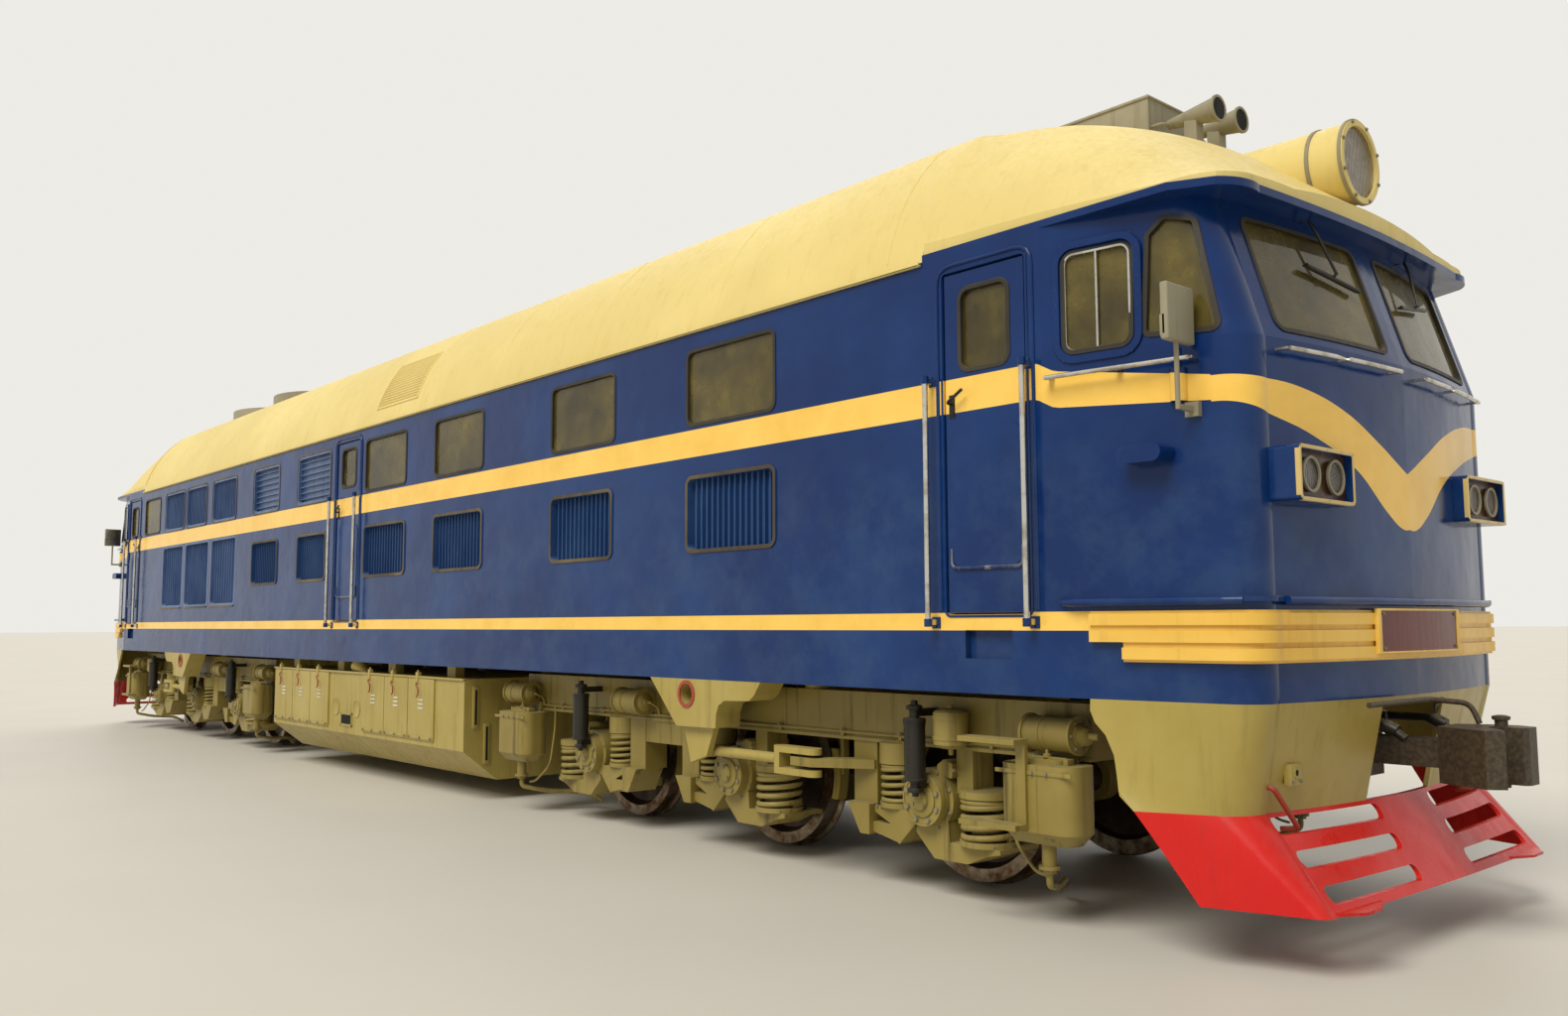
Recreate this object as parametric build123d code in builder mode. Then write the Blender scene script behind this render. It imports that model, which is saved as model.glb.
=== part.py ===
from build123d import *
import os

# Diesel-electric locomotive with a cab at each end, on two three-axle bogies.
# X runs along the track with cab 1 at +X, the right-hand side is -Y and Z points up.
# Z = 0 is the tip of the wheel flanges, so the rail top lies one flange depth above it.
# All sizes are in millimetres.

os.makedirs("parts", exist_ok=True)

# Wheels and bogies
FLANGE_DEPTH = 28.0
RAIL_Z = FLANGE_DEPTH
WHEEL_R = 525.0
BACK_TO_BACK = 1353.0
TYRE_WIDTH = 140.0
AXLE_Z = RAIL_Z + WHEEL_R
AXLE_R = 100.0
JOURNAL_R = 90.0
RUNNING_GAP = 0.3
AXLE_GAP = 1800.0
BOGIE_X = 6000.0
AXLE_OFFSETS = (AXLE_GAP, 0.0, -AXLE_GAP)

# Body: heights of the sill, waist, eave and cab visor, and the wall thickness
HALF_WIDTH = 1550.0
WALL = 60.0
SILL_Z = RAIL_Z + 1170.0
FLOOR_Z = RAIL_Z + 1580.0
FLOOR_PLATE = 50.0
WAIST_Z = RAIL_Z + 2890.0
EAVE_Z = RAIL_Z + 3600.0
VISOR_PLATE = 40.0
SHOULDER_Y = 1000.0
SHOULDER_Z = RAIL_Z + 4490.0
ROOF_TOP_Z = RAIL_Z + 4600.0
ROOF_SKIN = 50.0
INNER_Y = HALF_WIDTH - WALL

# Cab: where its shell meets the side walls, the tapered side and the nose
CAB_X = 8080.0
TAPER_X = 8900.0
NOSE_X = 10070.0
WINDSCREEN_RAKE = 210.0

# Plan outlines of the nose, from the straight side round the corner to the middle.
# columns: taper start X, corner start X and Y, corner end X and Y, nose X
WALL_PLAN = (TAPER_X, NOSE_X - 270, 1427.0, NOSE_X - 115, 1230.0, NOSE_X)
VISOR_PLAN = (NOSE_X - 420, NOSE_X - 217, 1450.0, NOSE_X - 140, 1180.0, NOSE_X - 85)
SKIRT_PLAN = (NOSE_X - 696, NOSE_X - 370, 1400.0, NOSE_X - 240, 1150.0, NOSE_X - 110)
PLOUGH_PLAN = (NOSE_X - 640, NOSE_X + 50, 1330.0, NOSE_X + 110, 1240.0, NOSE_X + 130)

# Doors: leaf width, head and sill, gap round the leaf and hinge
DOOR_FOOT_Z = RAIL_Z + 1600.0
DOOR_HEAD_Z = RAIL_Z + 3480.0
DOOR_GAP = 10.0
HINGE_R = 12.0
CAB_DOOR_X = (8240.0, 8790.0)
MID_DOOR_X = (-420.0, 160.0)
HINGE_HEIGHTS = (DOOR_FOOT_Z + 250, DOOR_HEAD_Z - 250)
HINGE_LENGTH = 60.0

# Glass and its rubber seals
GLASS = 8.0
GLASS_INSET = 14.0
SEAL_WIDTH = 24.0
SEAL_PROUD = 6.0
FIT_GAP = 0.3

# Upper body windows, columns: first X, last X
UPPER_WINDOWS = ((5840, 6800), (4010, 4950), (1900, 2870), (310, 1300), (-7930, -7120))
UPPER_Z = (RAIL_Z + 2910, RAIL_Z + 3460)
# Air inlets above the stripe with level slats, and with upright slats
LEVEL_SLATS = ((-1600, -620), (-3080, -2190))
UPRIGHT_SLATS = ((-4680, -3730), (-5820, -4930), (-6860, -5930))
# Louvred windows below the stripe, and the tall radiator panels
LOWER_LOUVRES = ((5840, 6800), (4010, 4920), (1900, 2870), (310, 1300), (-1560, -690), (-3080, -2180))
LOWER_Z = (RAIL_Z + 2030, RAIL_Z + 2570)
RADIATORS = ((-6920, -5940), (-5840, -4790), (-4690, -3690))
RADIATOR_Z = (RAIL_Z + 1810, RAIL_Z + 2690)
WINDOW_CORNER = 70.0


def nose_outline(plan, rear_x, inset):
    # Half plan from the rear round the nose, drawn in by an inset and mirrored into a closed face
    taper_x, corner_x, corner_y, front_x, front_y, nose_x = plan
    side_y = HALF_WIDTH - inset
    corner_x, corner_y = corner_x - 0.3 * inset, corner_y - inset
    front_x, front_y = front_x - inset, front_y - 0.3 * inset
    nose_x = nose_x - inset
    knuckle_x = corner_x + 0.75 * (front_x - corner_x)
    knuckle_y = front_y + 0.70 * (corner_y - front_y)
    middle_x = front_x + 0.72 * (nose_x - front_x)
    with BuildSketch(mode=Mode.PRIVATE) as outline:
        with BuildLine():
            Line((rear_x, 0), (rear_x, side_y))
            Line((rear_x, side_y), (taper_x, side_y))
            Line((taper_x, side_y), (corner_x, corner_y))
            ThreePointArc((corner_x, corner_y), (knuckle_x, knuckle_y), (front_x, front_y))
            ThreePointArc((front_x, front_y), (middle_x, front_y / 2), (nose_x, 0))
            Line((nose_x, 0), (rear_x, 0))
        make_face()
        mirror(about=Plane.XZ)
    return outline.sketch


def moved_back(plan, back):
    # The same plan with its nose moved back, the sides kept
    taper_x, corner_x, corner_y, front_x, front_y, nose_x = plan
    return (taper_x, corner_x - back, corner_y, front_x - back, front_y, nose_x - back)


def nose_block(inset, rear_x, low_z, high_z):
    # The cab's outer form, upright to the waist and raked above it, drawn in by an inset
    low = nose_outline(WALL_PLAN, rear_x, inset)
    high = nose_outline(moved_back(WALL_PLAN, WINDSCREEN_RAKE), rear_x, inset)
    with BuildPart(mode=Mode.PRIVATE) as block:
        with BuildSketch(Plane.XY.offset(low_z)):
            add(low)
        extrude(amount=WAIST_Z - low_z)
        with BuildSketch(Plane.XY.offset(WAIST_Z)):
            add(low)
        with BuildSketch(Plane.XY.offset(high_z)):
            add(high)
        loft(ruled=True)
    return block.part


def roof_face(shoulder_y, shoulder_z, top_z, inset, foot_z):
    # Roof section across the body: bowed side up to the shoulder, then a flat arch
    half = HALF_WIDTH - inset
    shoulder = shoulder_y - 0.6 * inset
    shoulder_top = shoulder_z - inset
    bow_y = half - 0.36 * (half - shoulder)
    bow_z = foot_z + 0.56 * (shoulder_top - foot_z)
    with BuildSketch(mode=Mode.PRIVATE) as section:
        with BuildLine():
            Line((-half, foot_z), (half, foot_z))
            ThreePointArc((half, foot_z), (bow_y, bow_z), (shoulder, shoulder_top))
            ThreePointArc((shoulder, shoulder_top), (0, top_z - inset), (-shoulder, shoulder_top))
            ThreePointArc((-shoulder, shoulder_top), (-bow_y, bow_z), (-half, foot_z))
        make_face()
    return section.sketch


# Underframe: floor plate, side and centre sills, crossbars, bolsters and buffer beams
SILL_BAR = 120.0
CENTRE_SILL_Y = 350.0
FRAME_END_X = 9700.0
BEARER_R = 100.0
BEARER_X = 700.0
BEARER_Y = 1085.0
PLATE_FOOT_Z = FLOOR_Z - FLOOR_PLATE
with BuildPart() as underframe:
    with BuildSketch(Plane.XY.offset(PLATE_FOOT_Z)):
        Rectangle(2 * (CAB_X - FIT_GAP), 2 * INNER_Y)
    extrude(amount=FLOOR_PLATE)
    with BuildSketch(Plane.XY.offset(SILL_Z)):
        for bar_y in (INNER_Y - SILL_BAR / 2, CENTRE_SILL_Y):
            for side in (1, -1):
                with Locations((0, side * bar_y)):
                    Rectangle(2 * (CAB_X - FIT_GAP), SILL_BAR)
        with GridLocations(1200, 0, 14, 1):
            Rectangle(100, 2 * INNER_Y)
        with Locations((BOGIE_X, 0), (-BOGIE_X, 0)):
            Rectangle(2 * BEARER_X + 2 * BEARER_R, 2 * INNER_Y)
    extrude(amount=PLATE_FOOT_Z - SILL_Z)
    for end in (1, -1):
        with Locations((end * (CAB_X + FRAME_END_X) / 2, 0, (SILL_Z + FLOOR_Z) / 2)):
            Box(FRAME_END_X - CAB_X + 1, 2 * CENTRE_SILL_Y + SILL_BAR, FLOOR_Z - SILL_Z)
        with Locations((end * (CAB_X + TAPER_X) / 2, 0, FLOOR_Z - FLOOR_PLATE / 2)):
            Box(TAPER_X - CAB_X + 1, 2 * (INNER_Y - 60), FLOOR_PLATE)
underframe.part.label = "underframe"
export_step(underframe.part, "parts/underframe.step")

# Centre pivots and side bearers: round posts under the bolsters, the bearers resting on the bogies
PIVOT_R = 110.0
PIVOT_LENGTH = 200.0
FRAME_TOP_Z = RAIL_Z + 1120.0
with BuildPart() as pivots:
    for end in (1, -1):
        with BuildSketch(Plane.XY.offset(SILL_Z)):
            with Locations((end * BOGIE_X, 0)):
                Circle(PIVOT_R)
        extrude(amount=-PIVOT_LENGTH)
        with BuildSketch(Plane.XY.offset(FRAME_TOP_Z + FIT_GAP)):
            with Locations((end * BOGIE_X, 0)):
                with GridLocations(2 * BEARER_X, 2 * BEARER_Y, 2, 2):
                    Circle(BEARER_R)
        extrude(amount=SILL_Z - FRAME_TOP_Z - FIT_GAP)
pivots.part.label = "pivots"
export_step(pivots.part, "parts/pivots.step")

# Side walls between the cabs, with window, louvre, radiator and door openings
MID_DOOR_MIDDLE = (MID_DOOR_X[0] + MID_DOOR_X[1]) / 2
for side, hand in ((-1, "right"), (1, "left")):
    outer_face = Plane(origin=(0, side * HALF_WIDTH, 0), x_dir=(1, 0, 0), z_dir=(0, -1, 0))
    with BuildPart() as side_wall:
        with BuildSketch(outer_face):
            with Locations((0, (SILL_Z + EAVE_Z) / 2)):
                Rectangle(2 * CAB_X, EAVE_Z - SILL_Z)
            for holes, heights in (
                (UPPER_WINDOWS, UPPER_Z),
                (LEVEL_SLATS, UPPER_Z),
                (UPRIGHT_SLATS, UPPER_Z),
                (LOWER_LOUVRES, LOWER_Z),
                (RADIATORS, RADIATOR_Z),
            ):
                for first, last in holes:
                    with Locations(((first + last) / 2, sum(heights) / 2)):
                        RectangleRounded(
                            last - first, heights[1] - heights[0], WINDOW_CORNER, mode=Mode.SUBTRACT
                        )
            with Locations((MID_DOOR_MIDDLE, (DOOR_FOOT_Z + DOOR_HEAD_Z) / 2)):
                Rectangle(
                    MID_DOOR_X[1] - MID_DOOR_X[0] + 2 * DOOR_GAP,
                    DOOR_HEAD_Z - DOOR_FOOT_Z + 2 * DOOR_GAP,
                    mode=Mode.SUBTRACT,
                )
        extrude(amount=side * WALL)
        for hinge_z in HINGE_HEIGHTS:
            knuckle_z = hinge_z + HINGE_LENGTH / 2 + FIT_GAP / 2
            with Locations((MID_DOOR_X[1] + DOOR_GAP / 2, side * (INNER_Y - HINGE_R), knuckle_z)):
                Cylinder(HINGE_R, HINGE_LENGTH / 2, align=(Align.CENTER, Align.CENTER, Align.MIN))
                with Locations((HINGE_R + DOOR_GAP / 2, 0, HINGE_LENGTH / 4)):
                    Box(2 * HINGE_R + DOOR_GAP, 2 * HINGE_R, HINGE_LENGTH / 2)
    side_wall.part.label = f"side_wall_{hand}"
    export_step(side_wall.part, f"parts/side_wall_{hand}.step")

# Cab shells: walls 60 thick under a visor plate that is also the ceiling
QUARTER_WINDOW = ((9450, 2930), (9850, 2905), (9720, 3490), (9560, 3530), (9470, 3450))
QUARTER_CORNER = 45.0
SIDE_WINDOW_X = (9020.0, 9410.0)
SIDE_WINDOW_Z = (RAIL_Z + 2900, RAIL_Z + 3440)
WINDSCREEN_Y = (110.0, 1130.0)
WINDSCREEN_Z = (RAIL_Z + 2930, RAIL_Z + 3540)
RIB_Z = RAIL_Z + 1652.0
RIB_HEIGHT = 26.0
RIB_PROUD = 30.0
RIB_START_X = 9030.0
STEP_POCKET = 45.0
STEP_POCKET_X = (8357.0, 8676.0)
STEP_POCKET_Z = (RAIL_Z + 1355.0, RAIL_Z + 1507.0)
DOOR_MIDDLE_X = (CAB_DOOR_X[0] + CAB_DOOR_X[1]) / 2


def window_prisms(grow):
    # Cutters for the cab windows, grown on every side: two windscreens, side and quarter windows
    width = WINDSCREEN_Y[1] - WINDSCREEN_Y[0] + 2 * grow
    height = WINDSCREEN_Z[1] - WINDSCREEN_Z[0] + 2 * grow
    with BuildPart(mode=Mode.PRIVATE) as prisms:
        with BuildSketch(Plane.YZ.offset(NOSE_X - 600)):
            for half in (1, -1):
                with Locations((half * sum(WINDSCREEN_Y) / 2, sum(WINDSCREEN_Z) / 2)):
                    RectangleRounded(width, height, WINDOW_CORNER + grow)
        extrude(amount=900)
        with BuildSketch(Plane.XZ.offset(-2 * HALF_WIDTH)):
            with Locations((sum(SIDE_WINDOW_X) / 2, sum(SIDE_WINDOW_Z) / 2)):
                RectangleRounded(
                    SIDE_WINDOW_X[1] - SIDE_WINDOW_X[0] + 2 * grow,
                    SIDE_WINDOW_Z[1] - SIDE_WINDOW_Z[0] + 2 * grow,
                    WINDOW_CORNER + grow,
                )
        extrude(amount=4 * HALF_WIDTH)
        with BuildSketch(Plane.XZ.offset(-2 * HALF_WIDTH)) as quarter:
            with BuildLine():
                Polyline(*((x, RAIL_Z + z) for x, z in QUARTER_WINDOW), close=True)
            make_face()
            if grow:
                offset(amount=grow, kind=Kind.INTERSECTION)
            fillet(quarter.vertices(), QUARTER_CORNER + grow)
        extrude(amount=4 * HALF_WIDTH)
    return prisms.part


cab_outside = nose_block(0, CAB_X, SILL_Z, EAVE_Z)
cab_inside = nose_block(WALL, CAB_X - 100, SILL_Z, EAVE_Z)
cab_windows = window_prisms(0)
visor_face = nose_outline(VISOR_PLAN, CAB_X, 0)
with BuildPart() as cab_1_shell:
    add(cab_outside)
    with BuildSketch(Plane.XY.offset(RIB_Z - RIB_HEIGHT / 2)):
        add(nose_outline(WALL_PLAN, CAB_X, -RIB_PROUD))
        with Locations((RIB_START_X, 0)):
            Rectangle(4 * CAB_X, 4 * HALF_WIDTH, align=(Align.MAX, Align.CENTER), mode=Mode.SUBTRACT)
    extrude(amount=RIB_HEIGHT)
    add(cab_inside, mode=Mode.SUBTRACT)
    add(cab_windows, mode=Mode.SUBTRACT)
    with Locations((DOOR_MIDDLE_X, 0, (DOOR_FOOT_Z + DOOR_HEAD_Z) / 2)):
        Box(
            CAB_DOOR_X[1] - CAB_DOOR_X[0] + 2 * DOOR_GAP,
            4 * HALF_WIDTH,
            DOOR_HEAD_Z - DOOR_FOOT_Z + 2 * DOOR_GAP,
            mode=Mode.SUBTRACT,
        )
    with BuildSketch(Plane.XY.offset(EAVE_Z)):
        add(visor_face)
    extrude(amount=VISOR_PLATE)
    for side in (-1, 1):
        with Locations((sum(STEP_POCKET_X) / 2, side * HALF_WIDTH, sum(STEP_POCKET_Z) / 2)):
            Box(
                STEP_POCKET_X[1] - STEP_POCKET_X[0],
                2 * STEP_POCKET,
                STEP_POCKET_Z[1] - STEP_POCKET_Z[0],
                mode=Mode.SUBTRACT,
            )
        for hinge_z in HINGE_HEIGHTS:
            knuckle_z = hinge_z + HINGE_LENGTH / 2 + FIT_GAP / 2
            with Locations((CAB_DOOR_X[1] + DOOR_GAP / 2, side * (INNER_Y - HINGE_R), knuckle_z)):
                Cylinder(HINGE_R, HINGE_LENGTH / 2, align=(Align.CENTER, Align.CENTER, Align.MIN))
                with Locations((HINGE_R + DOOR_GAP / 2, 0, HINGE_LENGTH / 4)):
                    Box(2 * HINGE_R + DOOR_GAP, 2 * HINGE_R, HINGE_LENGTH / 2)
cab_1_shell.part.label = "cab_1_shell"
export_step(cab_1_shell.part, "parts/cab_1_shell.step")

with BuildPart() as cab_2_shell:
    mirror(cab_1_shell.part, about=Plane.YZ)
cab_2_shell.part.label = "cab_2_shell"
export_step(cab_2_shell.part, "parts/cab_2_shell.step")

# Bulkheads between cab and engine room, with an open passage
BULKHEAD = 40.0
BULKHEAD_X = CAB_X - 70.0
PASSAGE = (620.0, 1850.0)
with BuildPart() as bulkheads:
    for end in (1, -1):
        with Locations((end * BULKHEAD_X, 0, FLOOR_Z)):
            Box(
                BULKHEAD,
                2 * INNER_Y,
                EAVE_Z - FLOOR_Z,
                align=(Align.CENTER, Align.CENTER, Align.MIN),
            )
            Box(
                4 * BULKHEAD,
                PASSAGE[0],
                PASSAGE[1],
                align=(Align.CENTER, Align.CENTER, Align.MIN),
                mode=Mode.SUBTRACT,
            )
bulkheads.part.label = "bulkheads"
export_step(bulkheads.part, "parts/bulkheads.step")

# Roof: the long arched skin and a hollow dome over each cab, with the headlamp's barrel
# columns: X of the section, shoulder Y, shoulder height and top height above the rail
DOME_SECTIONS = (
    (CAB_X, 1000, 4490, 4600),
    (8750, 960, 4360, 4480),
    (9250, 900, 4150, 4270),
    (9650, 860, 3870, 3980),
    (10000, 840, 3670, 3720),
)
LAMP_R = 225.0
LAMP_Z = RAIL_Z + 4050.0
LAMP_BACK_X = 8950.0
LAMP_FRONT_X = 9890.0
LAMP_WALL = 12.0
FAN_X = (-4600.0, -6300.0)
FAN_R = 720.0
COWL_R = 790.0
VISOR_TOP_Z = EAVE_Z + VISOR_PLATE
VISOR_LIP = 18.0


def dome_block(inset):
    # Loft through the dome's sections; the hollow is drawn in and ends before the low nose
    sections = DOME_SECTIONS[:-1] if inset else DOME_SECTIONS
    with BuildPart(mode=Mode.PRIVATE) as dome:
        for section_x, shoulder_y, shoulder_height, top_height in sections:
            shoulder_z = RAIL_Z + shoulder_height
            top_z = RAIL_Z + top_height
            with BuildSketch(Plane.YZ.offset(section_x)):
                add(roof_face(shoulder_y, shoulder_z, top_z, inset, VISOR_TOP_Z))
        loft()
    return dome.part


dome_outside = dome_block(0)
dome_inside = dome_block(ROOF_SKIN)
with BuildPart() as roof_shell:
    with BuildSketch(Plane.YZ.offset(-CAB_X)):
        add(roof_face(SHOULDER_Y, SHOULDER_Z, ROOF_TOP_Z, 0, EAVE_Z))
        add(
            roof_face(SHOULDER_Y, SHOULDER_Z, ROOF_TOP_Z, ROOF_SKIN, EAVE_Z),
            mode=Mode.SUBTRACT,
        )
    extrude(amount=2 * CAB_X)
    with BuildSketch(Plane.XY.offset(SHOULDER_Z - 400)):
        for fan_x in FAN_X:
            with Locations((fan_x, 0)):
                Circle(COWL_R + FIT_GAP)
    extrude(amount=1000, mode=Mode.SUBTRACT)
with BuildPart() as cab_roof:
    add(dome_outside)
    with BuildSketch(Plane.XY.offset(VISOR_TOP_Z)):
        add(nose_outline(VISOR_PLAN, CAB_X, VISOR_LIP))
    extrude(amount=2000, mode=Mode.INTERSECT)
    add(dome_inside, mode=Mode.SUBTRACT)
    with BuildSketch(Plane.YZ.offset(LAMP_BACK_X)):
        with Locations((0, LAMP_Z)):
            Circle(LAMP_R)
    extrude(amount=LAMP_FRONT_X - LAMP_BACK_X)
    with BuildSketch(Plane.YZ.offset(LAMP_FRONT_X)):
        with Locations((0, LAMP_Z)):
            Circle(LAMP_R - LAMP_WALL)
    extrude(amount=-120, mode=Mode.SUBTRACT)
with BuildPart() as roof_set:
    add(roof_shell.part)
    add(cab_roof.part)
    mirror(cab_roof.part, about=Plane.YZ)
roof_set.part.label = "roof_shell"
export_step(roof_set.part, "parts/roof_shell.step")

# Skirts below the cab nose and the plough plates under them, rolled from plate
SKIRT_PLATE = 25.0
SKIRT_FOOT_Z = RAIL_Z + 655.0
PLOUGH_FOOT_Z = RAIL_Z + 250.0
COUPLER_GAP_Y = 370.0
COUPLER_GAP_TOP_Z = RAIL_Z + 1140.0
SKIRT_REAR = ((9125, 1115), (9152, 1057), (9209, 999), (9256, 906), (9299, 718), (9374, 655))
PLOUGH_REAR = ((9374, 655), (9660, 250))
SLOT_ROWS = (RAIL_Z + 600.0, RAIL_Z + 465.0, RAIL_Z + 325.0)
SLOT_HEIGHT = 72.0
SLOT_Y = (300.0, 1180.0)
REAR_CUT_X = 8000.0


def nose_band(top_plan, foot_plan, top_z, foot_z):
    # Plate rolled to the nose between two plans, open at the rear
    with BuildPart(mode=Mode.PRIVATE) as band:
        for inset, build in ((0, Mode.ADD), (SKIRT_PLATE, Mode.SUBTRACT)):
            with BuildSketch(Plane.XY.offset(foot_z)):
                add(nose_outline(foot_plan, REAR_CUT_X, inset))
            with BuildSketch(Plane.XY.offset(top_z)):
                add(nose_outline(top_plan, REAR_CUT_X, inset))
            loft(ruled=True, mode=build)
    return band.part


skirt_band = nose_band(WALL_PLAN, SKIRT_PLAN, SILL_Z, SKIRT_FOOT_Z)
with BuildPart() as skirt:
    add(skirt_band)
    with BuildSketch(Plane.XZ.offset(-2 * HALF_WIDTH)):
        with BuildLine():
            rear = [(x, RAIL_Z + z) for x, z in SKIRT_REAR]
            corner = (REAR_CUT_X - 100, RAIL_Z + 600)
            Polyline((SKIRT_REAR[0][0], SILL_Z + 10), *rear, (rear[-1][0], corner[1]), corner,
                     (corner[0], SILL_Z + 10), close=True)
        make_face()
    extrude(amount=4 * HALF_WIDTH, mode=Mode.SUBTRACT)
    with Locations((NOSE_X, 0, COUPLER_GAP_TOP_Z)):
        Box(
            1000,
            2 * COUPLER_GAP_Y,
            1000,
            align=(Align.CENTER, Align.CENTER, Align.MAX),
            mode=Mode.SUBTRACT,
        )
with BuildPart() as skirts:
    add(skirt.part)
    mirror(skirt.part, about=Plane.YZ)
skirts.part.label = "skirts"
export_step(skirts.part, "parts/skirts.step")

plough_band = nose_band(SKIRT_PLAN, PLOUGH_PLAN, SKIRT_FOOT_Z, PLOUGH_FOOT_Z)
with BuildPart() as plough:
    add(plough_band)
    with BuildSketch(Plane.XZ.offset(-2 * HALF_WIDTH)):
        with BuildLine():
            rear = [(x, RAIL_Z + z) for x, z in PLOUGH_REAR]
            Polyline((rear[0][0], SKIRT_FOOT_Z + 10), *rear, (rear[1][0], PLOUGH_FOOT_Z - 10),
                     (REAR_CUT_X - 100, PLOUGH_FOOT_Z - 10), (REAR_CUT_X - 100, SKIRT_FOOT_Z + 10),
                     close=True)
        make_face()
    extrude(amount=4 * HALF_WIDTH, mode=Mode.SUBTRACT)
    with BuildSketch(Plane.YZ.offset(NOSE_X - 250)):
        for slot_z in SLOT_ROWS:
            for half in (1, -1):
                with Locations((half * sum(SLOT_Y) / 2, slot_z)):
                    RectangleRounded(SLOT_Y[1] - SLOT_Y[0], SLOT_HEIGHT, SLOT_HEIGHT / 2 - 1)
    extrude(amount=600, mode=Mode.SUBTRACT)
with BuildPart() as ploughs:
    add(plough.part)
    mirror(plough.part, about=Plane.YZ)
ploughs.part.label = "ploughs"
export_step(ploughs.part, "parts/ploughs.step")

# Belts: ribbed pressings round each nose above the sill, with a stepped start on the sides
BELT_Z = (RAIL_Z + 1355.0, RAIL_Z + 1600.0)
BELT_PROUD = 22.0
BELT_RIBS = 3
BELT_RIB = 14.0
BELT_START_X = 9150.0
BELT_STEP_X = 9320.0
BELT_STEP_Z = RAIL_Z + 1450.0
with BuildPart() as belt:
    with BuildSketch(Plane.XY.offset(BELT_Z[0])):
        add(nose_outline(WALL_PLAN, CAB_X, -BELT_PROUD))
    extrude(amount=BELT_Z[1] - BELT_Z[0])
    for rib in range(BELT_RIBS):
        rib_z = BELT_Z[0] + (rib + 0.5) * (BELT_Z[1] - BELT_Z[0]) / BELT_RIBS
        with BuildSketch(Plane.XY.offset(rib_z - 2 * BELT_RIB)):
            add(nose_outline(WALL_PLAN, CAB_X, -BELT_PROUD - BELT_RIB))
        extrude(amount=4 * BELT_RIB)
    with BuildSketch(Plane.XY.offset(BELT_Z[0] - 50)):
        add(nose_outline(WALL_PLAN, CAB_X, 0))
    extrude(amount=BELT_Z[1] - BELT_Z[0] + 100, mode=Mode.SUBTRACT)
    for start_x, foot_z in ((BELT_START_X, BELT_Z[0] - 50), (BELT_STEP_X, BELT_Z[0] - 50)):
        top_z = BELT_STEP_Z if start_x == BELT_STEP_X else BELT_Z[1] + 50
        with Locations((start_x, 0, foot_z)):
            Box(
                2000,
                4 * HALF_WIDTH,
                top_z - foot_z,
                align=(Align.MAX, Align.CENTER, Align.MIN),
                mode=Mode.SUBTRACT,
            )
with BuildPart() as belts:
    add(belt.part)
    mirror(belt.part, about=Plane.YZ)
belts.part.label = "front_belts"
export_step(belts.part, "parts/front_belts.step")

# Cab glass and seals: layers of the cab's own wall form, cut by the window outlines
cab_glass_layer = nose_block(GLASS_INSET, CAB_X, SILL_Z, EAVE_Z - FIT_GAP)
cab_glass_back = nose_block(GLASS_INSET + GLASS, CAB_X - 100, SILL_Z, EAVE_Z - FIT_GAP)
cab_seal_layer = nose_block(-SEAL_PROUD, CAB_X, SILL_Z, EAVE_Z - FIT_GAP)
cab_seal_back = nose_block(WALL / 2, CAB_X - 100, SILL_Z, EAVE_Z - FIT_GAP)
seal_outer = window_prisms(-FIT_GAP)
seal_inner = window_prisms(-SEAL_WIDTH)
glass_outer = window_prisms(-SEAL_WIDTH - FIT_GAP)
with BuildPart() as cab_glass:
    add(cab_glass_layer)
    add(cab_glass_back, mode=Mode.SUBTRACT)
    add(glass_outer, mode=Mode.INTERSECT)
with BuildPart() as cab_seals:
    add(cab_seal_layer)
    add(cab_seal_back, mode=Mode.SUBTRACT)
    add(seal_outer, mode=Mode.INTERSECT)
    add(seal_inner, mode=Mode.SUBTRACT)
WINDOW_MIDDLE_Z = sum(UPPER_Z) / 2
WINDOW_HEIGHT = UPPER_Z[1] - UPPER_Z[0]
with BuildPart() as wall_glass:
    with BuildSketch(Plane.XZ.offset(HALF_WIDTH - GLASS_INSET)):
        for first, last in UPPER_WINDOWS:
            with Locations(((first + last) / 2, WINDOW_MIDDLE_Z)):
                RectangleRounded(
                    last - first - 2 * (SEAL_WIDTH + FIT_GAP),
                    WINDOW_HEIGHT - 2 * (SEAL_WIDTH + FIT_GAP),
                    WINDOW_CORNER - SEAL_WIDTH - FIT_GAP,
                )
    extrude(amount=-GLASS)
with BuildPart() as wall_seals:
    with BuildSketch(Plane.XZ.offset(HALF_WIDTH + SEAL_PROUD)):
        for first, last in UPPER_WINDOWS:
            with Locations(((first + last) / 2, WINDOW_MIDDLE_Z)):
                RectangleRounded(
                    last - first - 2 * FIT_GAP, WINDOW_HEIGHT - 2 * FIT_GAP, WINDOW_CORNER - FIT_GAP
                )
                RectangleRounded(
                    last - first - 2 * SEAL_WIDTH,
                    WINDOW_HEIGHT - 2 * SEAL_WIDTH,
                    WINDOW_CORNER - SEAL_WIDTH,
                    mode=Mode.SUBTRACT,
                )
    extrude(amount=-SEAL_PROUD - WALL / 2)
with BuildPart() as glazing:
    add(cab_glass.part)
    mirror(cab_glass.part, about=Plane.YZ)
    add(wall_glass.part)
    mirror(wall_glass.part, about=Plane.XZ)
glazing.part.label = "glazing"
export_step(glazing.part, "parts/glazing.step")
with BuildPart() as window_seals:
    add(cab_seals.part)
    mirror(cab_seals.part, about=Plane.YZ)
    add(wall_seals.part)
    mirror(wall_seals.part, about=Plane.XZ)
window_seals.part.label = "window_seals"
export_step(window_seals.part, "parts/window_seals.step")

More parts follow.
